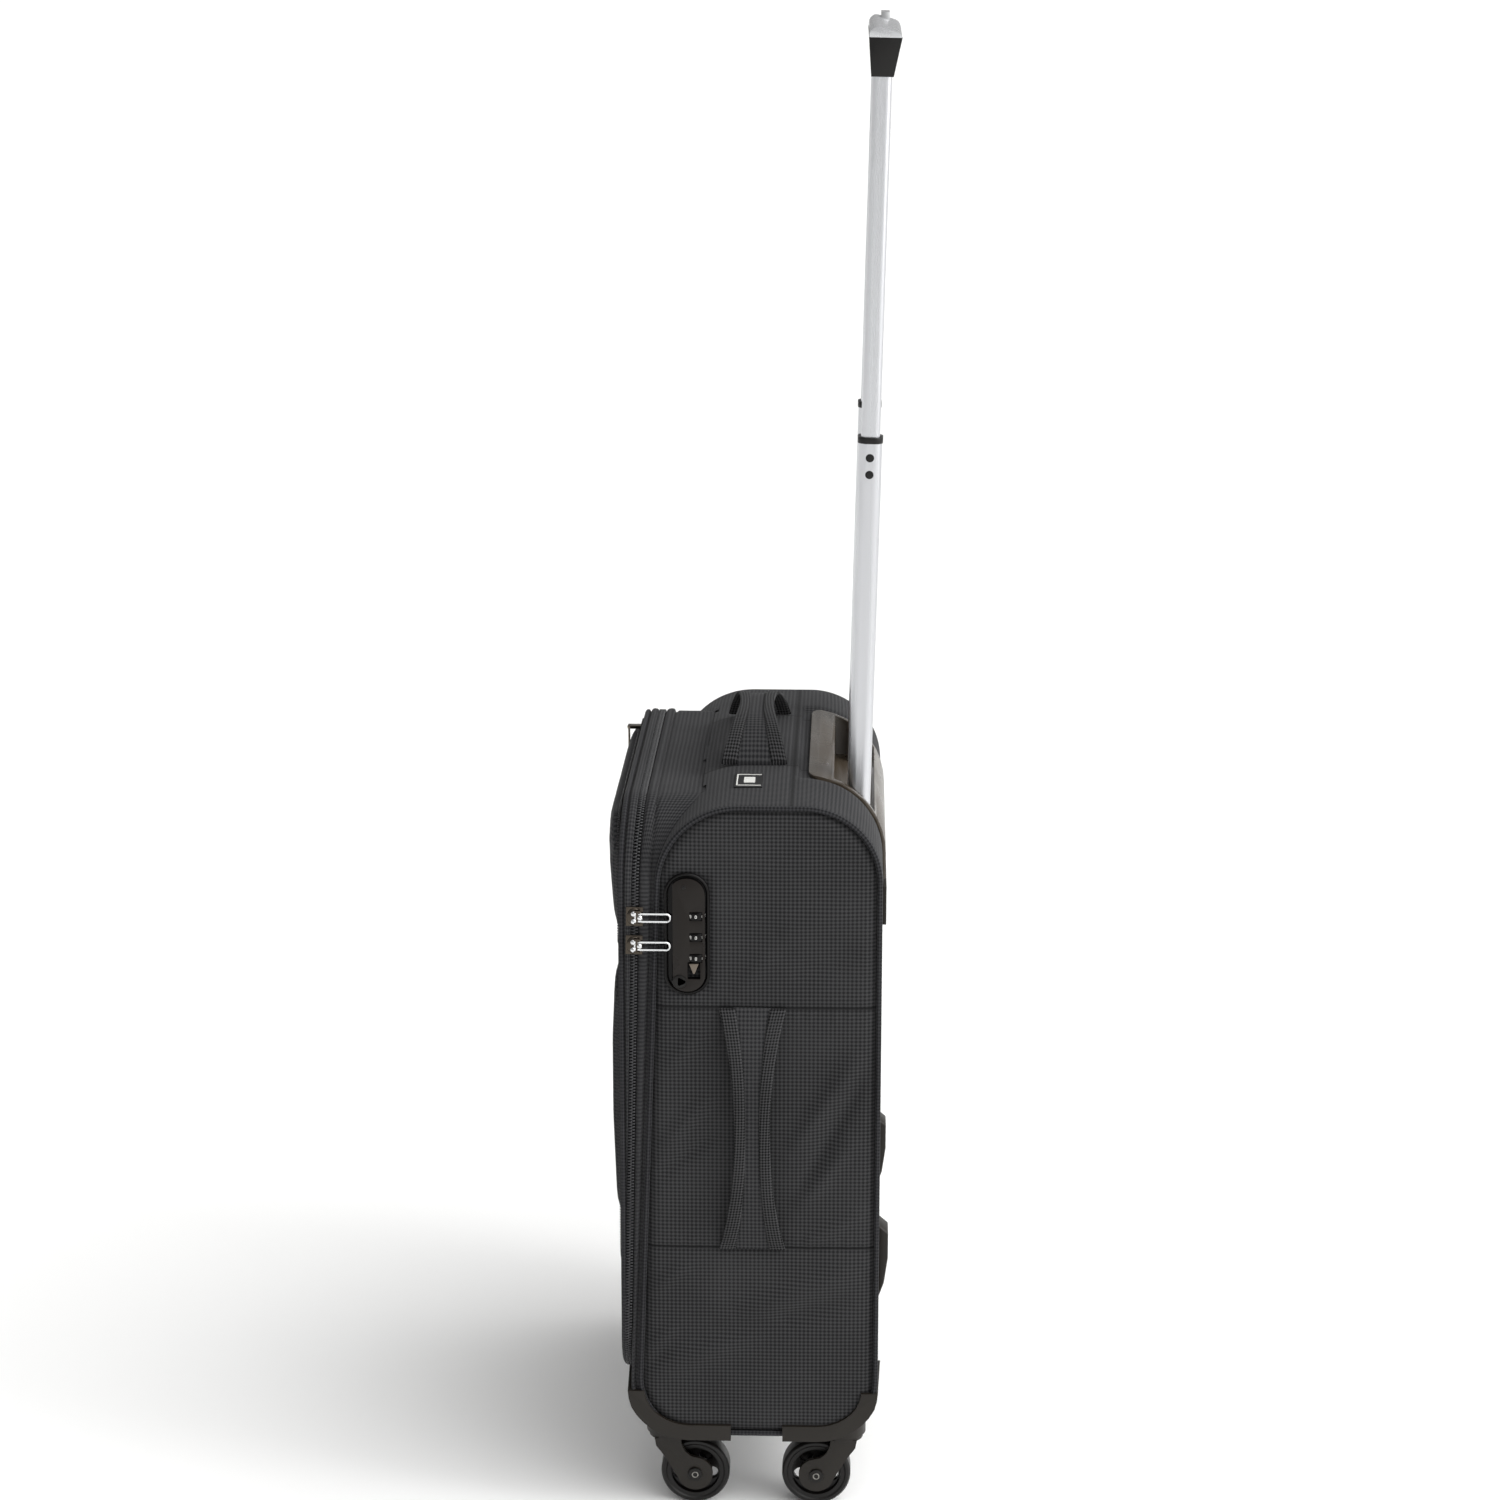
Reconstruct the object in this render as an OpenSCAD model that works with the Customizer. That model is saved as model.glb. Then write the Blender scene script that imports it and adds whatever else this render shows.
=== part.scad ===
// Softside cabin suitcase on four swivel casters, with a two stage trolley handle,
// a hinged zip front with two pockets, a combination lock and two carry handles.
// The origin is on the floor under the middle of the case. +X is the side with the
// lock, -Y is the front with the pockets and +Y is the back with the trolley tubes.

/* [Case] */
// Width of the case over its side panels
case_w = 345; // [285:1:420]
// Height of the case from its underside to its top
case_h = 483; // [400:1:600]
// Distance from the origin back to the outer face of the back panel
back_y = 96; // [90:1:115]
// Distance from the origin forward to the front seam, at the underside
seam_front = 82; // [78:1:100]
// Backward lean of the front seam in degrees
seam_lean = 2.2; // [1.4:0.1:3]
// Distance from the origin forward to the zip plane, at the underside
split_front = 88.8; // [86:0.2:110]
// Backward lean of the zip plane in degrees
split_lean = 1.3; // [0.5:0.1:2]
// Radius of the side panel's top front corner
front_top_r = 60; // [45:1:75]
// Radius of the side panel's top back corner
back_top_r = 56; // [45:1:70]
// Radius of the side panel's two bottom corners
bottom_r = 45; // [35:1:55]
// Radius of the front frame's corners, seen from the front
front_corner_r = 55; // [40:1:70]
// How far the front frame's top lies below the top of the case
front_drop = 11; // [8:1:16]
// Thickness of the foam backed fabric walls
wall = 4; // [3:0.5:6]
// Height of the piping above the side panel
piping_h = 2; // [1:0.5:3]

/* [Lining] */
// Gap between the fabric wall and the lining
liner_gap = 5; // [4.5:0.5:8]
// Thickness of the lining
liner_t = 1; // [0.6:0.1:2]
// Thickness of the back board and the base tray
board_t = 2; // [1.5:0.5:2.5]
// Width and thickness of the strip in the frame hoops
hoop_t = 4; // [3:0.5:4]

/* [Lid] */
// Height of the lid's lower edge above the underside of the case
lid_rise = 36; // [30:1:60]
// Depth of the lid at its top
lid_depth_top = 13; // [10:1:20]
// Depth of the lid at its bottom
lid_depth_bottom = 3.6; // [3.6:0.2:8]
// Thickness of the lid's front panel
lid_panel_t = 1.8; // [1.4:0.2:1.8]
// Thickness of each half of the main zip tape
tape_t = 1.5; // [1:0.1:2]
// Width of the zip tape, inward from the edge of the lid
tape_w = 8; // [6:0.5:10]
// Gap between parts that move past each other
gap = 0.3; // [0.2:0.05:0.5]

/* [Pockets] */
// Width of both pockets
pocket_w = 300; // [220:1:310]
// Height of the upper pocket
upper_pocket_h = 94; // [70:1:110]
// Thickness of the upper pocket at its top
upper_pocket_t = 8.5; // [5:0.5:12]
// Thickness of the lower pocket
lower_pocket_t = 5.5; // [4:0.5:10]
// Distance from the lid's top edge down to the upper pocket
pocket_drop = 6; // [6:1:20]
// Gap between the upper and the lower pocket
pocket_gap = 14; // [10:1:30]
// Distance from the lid's lower edge up to the lower pocket
pocket_base = 84; // [40:1:100]
// Distance from the middle to the pocket sliders
pocket_slider_x = 105; // [80:1:110]

/* [Casters] */
// Diameter of the wheels
wheel_d = 51; // [40:1:62]
// Width of the wheels
wheel_w = 17; // [12:0.5:20]
// Distance from a swivel axis back to its wheel's axle
trail = 20.5; // [15:0.5:22]
// Diameter of the swivel pin
swivel_pin_d = 8; // [6:0.5:10]
// Diameter of the axle
axle_d = 6; // [4:0.5:8]
// Radial clearance of a shaft in its bore
fit = 0.05; // [0.02:0.01:0.1]
// Distance from a swivel axis in to the side of the case
swivel_inset = 22.5; // [20:0.5:26]
// Half of the distance between the front and the rear swivel axis
swivel_half = 65.5; // [60:0.5:72]
// Middle of the two swivel axes, along Y
swivel_mid_y = 6; // [0:1:12]

/* [Trolley handle] */
// Distance between the two tubes
tube_pitch = 162; // [120:1:200]
// Depth of the middle tube, front to back
mid_d = 17; // [14:0.5:18]
// Width of the middle tube, side to side
mid_w = 20; // [16:0.5:26]
// Wall of every tube
tube_wall = 1.2; // [1:0.1:1.5]
// Running gap between one tube and the next
tube_gap = 0.4; // [0.3:0.05:0.6]
// Backward lean of the tubes in degrees
tube_lean = 1.34; // [0:0.01:1.5]
// Centre of the tubes at their foot, along Y
foot_y = 68; // [66:0.5:70]
// Height of the tubes' foot above the underside of the case
foot_rise = 22; // [20:1:26]
// Travel of the middle tubes
mid_stroke = 273; // [200:1:280]
// Travel of the upper tubes
top_stroke = 249; // [200:1:260]
// Depth of the grip's recess below the top of the case
recess_depth = 32; // [28:1:36]
// Width of the grip, front to back
grip_w = 23; // [20:0.5:25]
// Thickness of the grip
grip_t = 11; // [10.6:0.2:13]
// Roll of the grip, back edge down, in degrees
grip_roll = 14; // [0:1:16]
// Travel of the release button
button_stroke = 3.5; // [2.5:0.5:3.5]

/* [Lock] */
// Height of the lock
lock_h = 85; // [80:1:100]
// Width of the lock, front to back
lock_w = 27; // [26:0.5:32]
// Middle of the lock, along Y
lock_y = -42.5; // [-44:0.5:-36]
// Distance from the top of the case down to the middle of the lock
lock_drop = 94; // [80:1:120]
// Height of the lock's face above the side panel
lock_proud = 5.5; // [5:0.5:7]
// Radius of the number dials
dial_r = 6.6; // [5.5:0.1:6.8]
// Distance from one dial to the next
dial_pitch = 15.5; // [13:0.5:18]
// Travel of the lock's release
release_stroke = 3.5; // [2:0.5:4]

/* [Handles and feet] */
// Length of the side handle
side_handle_l = 184; // [150:1:200]
// Distance from the underside of the case up to the side handle
side_handle_rise = 150; // [100:1:180]
// How far the middle of the side handle stands off the case
side_handle_off = 9; // [8:0.5:16]
// Length of the top handle
top_handle_l = 150; // [120:1:180]
// How far the middle of the top handle stands off the case
top_handle_off = 30; // [15:1:40]
// Thickness of both handles
strap_t = 4.5; // [3:0.5:6]
// Width of a handle at its ends
strap_end_w = 48; // [40:1:55]
// Width of a handle at its waist
strap_waist_w = 30; // [24:1:38]
// Height of the side feet
foot_h = 12.5; // [8:0.5:16]
// Height of the skids on the back
skid_h = 7; // [4:0.5:10]

/* [Hidden] */
$fn = 64;

// Heights and half widths of the case.
wheel_r = wheel_d / 2;
crown_gap = 2;
crown_t = 3.5;
swivel_gap = 0.5;
socket_h = 5;
base_z = wheel_d + crown_gap + crown_t + swivel_gap + socket_h;
top_z = base_z + case_h;
half_w = case_w / 2;
front_h = case_h - front_drop;
liner_inset = wall + liner_gap;

// Curves of the case. Every outline moves inward by d.
function seam_y(z) = -seam_front + (z - base_z) * tan(seam_lean);
function split_y(z) = -split_front + (z - base_z) * tan(split_lean);
function arc(c, r, a0, a1, n = 10) =
    [for (i = [0:n]) c + r * [cos(a0 + (a1 - a0) * i / n), sin(a0 + (a1 - a0) * i / n)]];
function seam_corner(r, z) = [seam_y(z) + r / cos(seam_lean), z];
function side_outline(d) = concat(
    arc([back_y - back_top_r, top_z - back_top_r], back_top_r - d, 0, 90),
    arc(seam_corner(front_top_r, top_z - front_top_r), front_top_r - d, 90, 180 - seam_lean),
    arc(seam_corner(bottom_r, base_z + bottom_r), bottom_r - d, 180 - seam_lean, 270),
    arc([back_y - bottom_r, base_z + bottom_r], bottom_r - d, 270, 360));
function round_box(x0, z0, x1, z1, r_low, r_high) = concat(
    arc([x1 - r_high, z1 - r_high], r_high, 0, 90),
    arc([x0 + r_high, z1 - r_high], r_high, 90, 180),
    arc([x0 + r_low, z0 + r_low], r_low, 180, 270),
    arc([x1 - r_low, z0 + r_low], r_low, 270, 360));
function lid_outline(d) =
    round_box(-half_w + d, lid_rise + d, half_w - d, front_h - d, front_corner_r - d, front_corner_r - d);

// The front block ends where the top gusset's arc has risen just past the frame's top.
frame_lap = 1.5;
block_arc_rise = front_h - case_h + front_top_r + frame_lap;
block_back_y = seam_corner(front_top_r, top_z - front_top_r)[0]
    - sqrt(front_top_r * front_top_r - block_arc_rise * block_arc_rise);
function block_side(d) = concat(
    arc([split_y(base_z + bottom_r) + bottom_r, base_z + bottom_r], bottom_r - d, 180, 270),
    [[block_back_y, base_z + d], [block_back_y, top_z], [-split_front + d, top_z]]);

module along_x(w) rotate([90, 0, 90]) linear_extrude(w, center = true) children();
module along_y(y0, y1) translate([0, y1, 0]) rotate([90, 0, 0]) linear_extrude(y1 - y0) children();
module on_split() translate([0, -split_front, base_z]) rotate([-split_lean, 0, 0]) children();
module at_height(z0, z1) translate([-500, -500, z0]) cube([1000, 1000, z1 - z0]);

module front_block(d) {
    intersection() {
        on_split()
            along_y(tape_t + d, split_front)
                polygon(round_box(-half_w + d, -9, half_w - d, front_h - d, 5, front_corner_r - d));
        along_x(case_w) polygon(block_side(d));
    }
}

module case_solid(d) {
    along_x(case_w - 2 * d) polygon(side_outline(d));
    front_block(d);
}

// The front frame's walls, a little thicker on both faces, for what must clear them.
module front_shell(g) {
    difference() {
        front_block(-g);
        front_block(wall + g);
    }
}

// The lid opening, deep enough to clear the walls behind the zip tape.
module lid_opening(depth) {
    on_split() along_y(-1, depth) polygon(lid_outline(tape_w));
}

// ---- Fabric body -------------------------------------------------------------------

module gusset_ring() {
    difference() {
        along_x(case_w - 2 * wall) polygon(side_outline(0));
        along_x(case_w) polygon(side_outline(wall));
        front_block(0);
    }
}

module side_panel(s) {
    color("#3b3b3d")
        translate([s * (half_w - wall / 2), 0, 0]) along_x(wall) polygon(side_outline(0));
}

module side_panel_right() {
    difference() {
        side_panel(1);
        lock_prism(half_w - 2 * wall, half_w + wall, 0);
    }
}

module side_panel_left() side_panel(-1);

module top_gusset() {
    color("#414143")
        difference() {
            intersection() {
                gusset_ring();
                at_height(top_z - back_top_r, top_z + 1);
            }
            recess_tub(0);
        }
}

module back_panel() {
    color("#363638")
        intersection() {
            gusset_ring();
            at_height(base_z + bottom_r, top_z - back_top_r);
        }
}

module bottom_panel() {
    color("#2e2e30")
        intersection() {
            gusset_ring();
            at_height(base_z - 1, base_z + bottom_r);
        }
}

module front_frame() {
    color("#3f3f41")
        difference() {
            front_block(0);
            front_block(wall);
            lid_opening(tape_t + wall + 1);
            for (s = [-1, 1])
                translate([s * half_w, 0, 0])
                    along_x(2 * (liner_inset - (liner_gap - hoop_t) / 2 + gap))
                        polygon(side_outline(0));
            lock_prism(half_w - lock_depth - gap, half_w + wall, 0);
        }
}

module piping() {
    color("#2a2a2c")
        for (s = [-1, 1])
            difference() {
                translate([s * (half_w + piping_h / 2), 0, 0])
                    along_x(piping_h)
                        difference() {
                            polygon(side_outline(-1));
                            polygon(side_outline(2));
                        }
                at_height(0, base_z + guard_h);
            }
}

module lining_form(d) {
    difference() {
        intersection() {
            case_solid(liner_inset + d);
            on_trolley()
                translate([-case_w, -case_w - outer_d / 2 - liner_t - 0.4 - d, -case_h])
                    cube([2 * case_w, case_w, 3 * case_h]);
        }
        recess_tub(liner_t - d + 0.5 + 2 * d);
    }
}

module lining() {
    color("#8a8a90")
        difference() {
            lining_form(0);
            lining_form(liner_t);
            lid_opening(tape_t + liner_inset + liner_t + 0.5);
            front_shell(0.1);
        }
}

module back_board() {
    board_h = case_h - bottom_r - back_top_r;
    color("#202022")
        translate([-half_w + 20, back_y - wall - board_t, base_z + bottom_r])
            cube([case_w - 40, board_t, board_h]);
}

module frame_hoops() {
    inset = wall + (liner_gap - hoop_t) / 2;
    color("#55585c")
        for (s = [-1, 1])
            translate([s * (half_w - inset - hoop_t / 2), 0, 0])
                along_x(hoop_t)
                    difference() {
                        polygon(side_outline(inset));
                        polygon(side_outline(inset + hoop_t));
                    }
}

module base_tray() {
    color("#1c1c1e")
        intersection() {
            along_x(case_w - 2 * (liner_inset + hoop_t))
                difference() {
                    polygon(side_outline(wall));
                    polygon(side_outline(wall + board_t));
                }
            translate([-case_w, block_back_y + 1, base_z])
                cube([2 * case_w, back_y - block_back_y, bottom_r / 2]);
        }
}

module zip_tape(y0, y1) {
    on_split()
        along_y(y0, y1)
            difference() {
                polygon(lid_outline(0));
                polygon(lid_outline(tape_w));
            }
}

module zip_tape_case() color("#101012") zip_tape(0, tape_t);

// ---- Corner guards and casters -----------------------------------------------------

guard_h = 36;
guard_t = 3;
guard_lip = 9;
guard_w = 55;
guard_front_y = swivel_mid_y - 18;
guard_rear_y = swivel_mid_y + 20;
socket_r = 16;
pin_top_z = base_z + 1.5;
swivel_x = half_w - swivel_inset;

module guard_2d(d) {
    intersection() {
        union() {
            polygon(side_outline(d));
            polygon(block_side(d));
        }
        difference() {
            translate([-case_w, base_z - 10]) square([2 * case_w, guard_h + 10]);
            translate([guard_front_y, 0]) square([guard_rear_y - guard_front_y, case_h]);
        }
    }
}

module guard_pair() {
    rotate([90, 0, 90]) {
        translate([0, 0, half_w])
            linear_extrude(guard_t)
                difference() {
                    guard_2d(-guard_t);
                    guard_2d(guard_lip);
                }
        translate([0, 0, half_w - guard_w])
            linear_extrude(guard_w)
                difference() {
                    guard_2d(-guard_t);
                    guard_2d(0);
                }
    }
    for (s = [-1, 1])
        translate([swivel_x, swivel_mid_y + s * swivel_half, 0])
            difference() {
                translate([0, 0, base_z - socket_h]) cylinder(r = socket_r, h = bottom_r / 2);
                translate([-swivel_x, -swivel_mid_y - s * swivel_half, 0]) case_solid(0);
            }
}

module corner_guards() {
    color("#1d1a16")
        for (s = [0, 1])
            mirror([s, 0, 0])
                difference() {
                    guard_pair();
                    for (t = [-1, 1])
                        translate([swivel_x, swivel_mid_y + t * swivel_half, 0])
                            cylinder(d = swivel_pin_d + 2 * fit, h = pin_top_z + 0.5);
                }
}

module at_caster(s, t) {
    translate([s * swivel_x, swivel_mid_y + t * swivel_half, 0])
        mirror([0, t > 0 ? 1 : 0, 0])
            children();
}

cheek_t = 3.2;
cheek_x = wheel_w / 2 + 1;
boss_r = 13;
neck_z = wheel_d + crown_gap;

module cheek_2d() {
    difference() {
        union() {
            translate([trail, wheel_r]) circle(r = boss_r);
            polygon([[-9.5, neck_z + 1], [-8.5, neck_z - 5], [-1.5, wheel_r + 13], [7, wheel_r - 2],
                [trail - 9, wheel_r - 9.3], [trail, wheel_r], [trail + 4, wheel_r + 12.3],
                [trail - 3, wheel_r + 14], [13, wheel_r + 18], [10.5, neck_z - 4], [10, neck_z + 1]]);
        }
        translate([trail, wheel_r]) circle(d = axle_d);
    }
}

module fork(s, t) {
    color("#231f1a")
        at_caster(s, t) {
            translate([0, 0, neck_z]) cylinder(r = 14, h = crown_t);
            translate([0, 0, neck_z + crown_t - 0.5])
                cylinder(d = swivel_pin_d, h = pin_top_z - neck_z - crown_t + 0.5);
            for (side = [-1, 1])
                translate([side * (cheek_x + cheek_t / 2), 0, 0]) along_x(cheek_t) cheek_2d();
            along_x(2 * cheek_x + 0.2)
                difference() {
                    polygon([[-9.5, neck_z + 1], [-8.5, neck_z - 5], [-1.5, wheel_r + 15],
                        [9, wheel_r + 15], [10, neck_z + 1]]);
                    translate([trail, wheel_r]) circle(r = wheel_r + 1);
                }
        }
}

module axle(s, t) {
    grip_x = cheek_x + cheek_t;
    color("#9a9b9d")
        at_caster(s, t)
            translate([0, trail, wheel_r])
                rotate([0, 90, 0]) {
                    cylinder(d = axle_d, h = 2 * grip_x, center = true);
                    for (side = [-1, 1])
                        translate([0, 0, side * (grip_x + 0.8)])
                            cylinder(r = axle_d / 2 + 2.2, h = 1.6, center = true);
                }
}

module wheel(s, t) {
    hub_r = axle_d / 2 + 4;
    rim_r = wheel_r - 7.5;
    half = wheel_w / 2;
    color("#141210")
        at_caster(s, t)
            translate([0, trail, wheel_r])
                rotate([0, 90, 0])
                    difference() {
                        rotate_extrude()
                            polygon([[axle_d / 2 + fit, -half], [hub_r, -half], [hub_r, -2.5], [rim_r, -2.5],
                                [rim_r, 1 - half], [rim_r + 3, 1 - half], [rim_r + 4, -half],
                                [wheel_r - 1.5, -half], [wheel_r, 2 - half], [wheel_r, half - 2],
                                [wheel_r - 1.5, half], [rim_r + 4, half], [rim_r + 3, half - 1],
                                [rim_r, half - 1], [rim_r, 2.5], [hub_r, 2.5], [hub_r, half],
                                [axle_d / 2 + fit, half]]);
                        for (a = [0:72:288])
                            rotate([0, 0, a])
                                translate([(hub_r + rim_r) / 2, 0, 0])
                                    cylinder(r = (rim_r - hub_r) / 2 - 0.6, h = 8, center = true);
                    }
}

module fork_front_right() fork(1, -1);
module fork_front_left() fork(-1, -1);
module fork_rear_right() fork(1, 1);
module fork_rear_left() fork(-1, 1);
module axle_front_right() axle(1, -1);
module axle_front_left() axle(-1, -1);
module axle_rear_right() axle(1, 1);
module axle_rear_left() axle(-1, 1);
module wheel_front_right() wheel(1, -1);
module wheel_front_left() wheel(-1, -1);
module wheel_rear_right() wheel(1, 1);
module wheel_rear_left() wheel(-1, 1);

// ---- Trolley handle ----------------------------------------------------------------

// Lengths s run up the leaning tubes from their foot.
outer_d = mid_d + 2 * (tube_gap + tube_wall);
outer_w = mid_w + 2 * (tube_gap + tube_wall);
inner_d = mid_d - 2 * (tube_gap + tube_wall) - 0.2;
inner_w = mid_w - 2 * (tube_gap + tube_wall) - 0.2;
foot_z = base_z + foot_rise;
floor_z = top_z - recess_depth;
floor_t = 3;
floor_s = (floor_z - foot_z) / cos(tube_lean);
stop_gap = 2;
collar_h = 4.5;
collar_s = floor_s + stop_gap + mid_stroke;
sleeve_s = collar_s + collar_h + 1 + top_stroke;
sleeve_h = 21;
tube_lap = 52;
grip_rise = 4;
grip_s = sleeve_s + sleeve_h + grip_t / 2;
grip_half = tube_pitch / 2 + mid_w / 2;
recess_half = grip_half + 1.5;
flange_half = recess_half + 6;
flange_t = 2.5;
flange_y = 42;
recess_y = 60;
recess_back_y = back_y - 6;

module on_trolley() translate([0, foot_y, foot_z]) rotate([-tube_lean, 0, 0]) children();

module tube_2d(w, d, r) polygon(round_box(-w / 2, -d / 2, w / 2, d / 2, r, r));

module both_tubes(s0, s1) {
    for (side = [-1, 1])
        on_trolley()
            translate([side * tube_pitch / 2, 0, s0])
                linear_extrude(s1 - s0)
                    children();
}

module recess_tub(grow) {
    side = recess_half + 2 + grow;
    translate([-side, recess_y - 2 - grow, floor_z - floor_t - grow])
        cube([2 * side, recess_back_y - recess_y + 4 + 2 * grow, recess_depth + case_h]);
}

module trolley_housing() {
    color("#262019")
        difference() {
            union() {
                intersection() {
                    along_x(2 * flange_half)
                        difference() {
                            polygon(side_outline(-flange_t));
                            polygon(side_outline(0));
                        }
                    translate([-case_w, flange_y, top_z - 75]) cube([2 * case_w, case_w, case_w]);
                }
                intersection() {
                    along_x(2 * flange_half) polygon(side_outline(-flange_t));
                    recess_tub(0);
                }
                intersection() {
                    both_tubes(floor_s - 18, floor_s - 2)
                        tube_2d(outer_w + 2.4, outer_d + 2.4, 7);
                    along_x(case_w) polygon(side_outline(wall + 0.1));
                }
            }
            translate([-recess_half, recess_y, floor_z])
                cube([2 * recess_half, recess_back_y - recess_y, case_h]);
            both_tubes(floor_s - 6, floor_s + 40)
                tube_2d(mid_w + 2 * tube_gap, mid_d + 2 * tube_gap, 6);
            both_tubes(floor_s - 20, floor_s - 5) tube_2d(outer_w, outer_d, 7);
        }
}

module outer_tubes() {
    color("#b5b6b8")
        both_tubes(0, floor_s - 5)
            difference() {
                tube_2d(outer_w, outer_d, 7);
                tube_2d(outer_w - 2 * tube_wall, outer_d - 2 * tube_wall, 6);
            }
}

module trolley_foot() {
    color("#19191b")
        difference() {
            intersection() {
                translate([-tube_pitch / 2 - 20, foot_y - outer_d / 2 - 0.4, foot_z - 6])
                    cube([tube_pitch + 40, outer_d + 3, 22]);
                along_x(case_w) polygon(side_outline(wall + board_t + 0.2));
            }
            both_tubes(0, 40) tube_2d(outer_w, outer_d, 7);
        }
}

module middle_tubes() {
    color("#c2c3c5")
        difference() {
            both_tubes(floor_s - tube_lap, collar_s)
                difference() {
                    tube_2d(mid_w, mid_d, 6);
                    tube_2d(mid_w - 2 * tube_wall, mid_d - 2 * tube_wall, 5);
                }
            collar_studs(0);
        }
}

// Two round studs of each collar show through the outward face of its tube.
module collar_studs(proud) {
    for (side = [-1, 1], drop = [10, 22])
        on_trolley()
            translate([side * (grip_half - tube_wall), 0, collar_s - drop])
                rotate([0, side * 90, 0])
                    cylinder(r = 3, h = tube_wall + (proud > 0 ? proud : 3));
}

module tube_collars() {
    color("#0e0e0f") {
        both_tubes(collar_s, collar_s + collar_h)
            difference() {
                tube_2d(mid_w + 1, mid_d + 1, 6.5);
                tube_2d(inner_w + 0.6, inner_d + 0.6, 4.5);
            }
        collar_studs(tube_gap / 2);
    }
}

module inner_tubes() {
    color("#cbccce")
        both_tubes(collar_s - tube_lap, sleeve_s + sleeve_h - 2)
            difference() {
                tube_2d(inner_w, inner_d, 4.2);
                tube_2d(inner_w - 2 * tube_wall, inner_d - 2 * tube_wall, 3.2);
            }
}

// The grip follows a shallow arc from tube to tube.
arch_r = (grip_half * grip_half + grip_rise * grip_rise) / (2 * grip_rise);
grip_off = 1.4;

module arch(half_l) {
    sweep = 2 * asin(half_l / arch_r);
    on_trolley()
        translate([0, grip_off, grip_s + grip_rise - arch_r])
            rotate([90, 0, 0])
                rotate([0, 0, 90 - sweep / 2])
                    rotate_extrude(angle = sweep, $fn = 360)
                        translate([arch_r, 0])
                            children();
}

module grip_section() {
    rotate(-grip_roll)
        union() {
            square([grip_t, grip_w - grip_t], center = true);
            for (s = [-1, 1]) translate([0, s * (grip_w - grip_t) / 2]) circle(d = grip_t, $fn = 32);
        }
}

module grip_bar() arch(grip_half) grip_section();

bar_w = 6;
bar_t = 2.2;
bar_lift = button_stroke / 2;

module grip() {
    color("#d8d9db")
        difference() {
            grip_bar();
            arch(grip_half - 5) square([bar_t + button_stroke + 0.8, bar_w + 0.8], center = true);
            for (side = [-1, 1])
                on_trolley()
                    translate([side * tube_pitch / 2, 0, grip_s - grip_t])
                        cylinder(r = 2.1, h = grip_t);
            on_trolley()
                translate([-17.3, grip_off - bar_w / 2 - 0.3, grip_s + grip_rise])
                    cube([34.6, bar_w + 0.6, 20]);
        }
}

module grip_button() {
    rod_s = collar_s - tube_lap + 8;
    color("#e3e4e6") {
        arch(tube_pitch / 2 + 2) translate([bar_lift, 0]) square([bar_t, bar_w], center = true);
        on_trolley() {
            for (side = [-1, 1])
                translate([side * tube_pitch / 2, 0, rod_s])
                    cylinder(r = 1.5, h = grip_s + bar_lift - rod_s, $fn = 32);
            translate([-17, grip_off - bar_w / 2, grip_s + grip_rise + bar_lift - bar_t / 2])
                cube([34, bar_w, grip_t / 2 + 4.6 - bar_lift + bar_t / 2]);
        }
    }
}

module grip_sleeves() {
    y0 = inner_d / 2 + 1;
    x0 = inner_w / 2 + 1;
    h = sleeve_h + grip_t / 2;
    color("#0d0c0a")
        difference() {
            for (side = [-1, 1])
                on_trolley()
                    translate([side * tube_pitch / 2, 0, sleeve_s])
                        intersection() {
                            along_x(mid_w)
                                polygon([[-y0, 0], [y0, 0], [grip_w / 2 + grip_off, h],
                                    [-grip_w / 2 + grip_off, h]]);
                            along_y(-grip_w, grip_w)
                                polygon([[-x0, 0], [x0, 0], [mid_w / 2, h], [-mid_w / 2, h]]);
                        }
            grip_bar();
            both_tubes(sleeve_s - 1, sleeve_s + sleeve_h - 2) tube_2d(inner_w, inner_d, 4.2);
            both_tubes(sleeve_s, sleeve_s + 60) circle(r = 2.1);
        }
}

// ---- Handles, skids and tag --------------------------------------------------------

// A strap stands off its base as a flat topped arch, and narrows at its waist.
function strap_arch(l, off) = concat(
    [for (i = [0:24]) [l * (i / 24 - 0.5), off * (1 - pow(i / 12 - 1, 4)) + strap_t]],
    [for (i = [24:-1:0]) [l * (i / 24 - 0.5), off * (1 - pow(i / 12 - 1, 4))]]);
function strap_waist(l) = concat(
    [for (i = [0:12]) [l * (i / 12 - 0.5), strap_edge(i / 6 - 1)]],
    [for (i = [12:-1:0]) [l * (i / 12 - 0.5), -strap_edge(i / 6 - 1)]]);
function strap_edge(u) = strap_waist_w / 2 + (strap_end_w - strap_waist_w) / 2 * u * u;

// Length runs along X and the arch stands up along Z.
module strap(l, off) {
    intersection() {
        along_y(-strap_end_w, strap_end_w) polygon(strap_arch(l, off));
        linear_extrude(off + strap_t + 1) polygon(strap_waist(l));
    }
}

top_handle_y = 2;
side_handle_y = 4;

module top_handle() {
    color("#353537") translate([0, top_handle_y, top_z + gap]) strap(top_handle_l, top_handle_off);
}

module side_handle() {
    color("#353537")
        translate([half_w + gap, side_handle_y, base_z + side_handle_rise + side_handle_l / 2])
            rotate([0, 90, 0])
                strap(side_handle_l, side_handle_off);
}

module side_feet() {
    color("#16130f")
        for (y = [-38, 50], z = [90, case_h - 150])
            translate([-half_w, y, base_z + z])
                rotate([0, -90, 0])
                    cylinder(r1 = 11, r2 = 9, h = foot_h);
}

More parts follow.
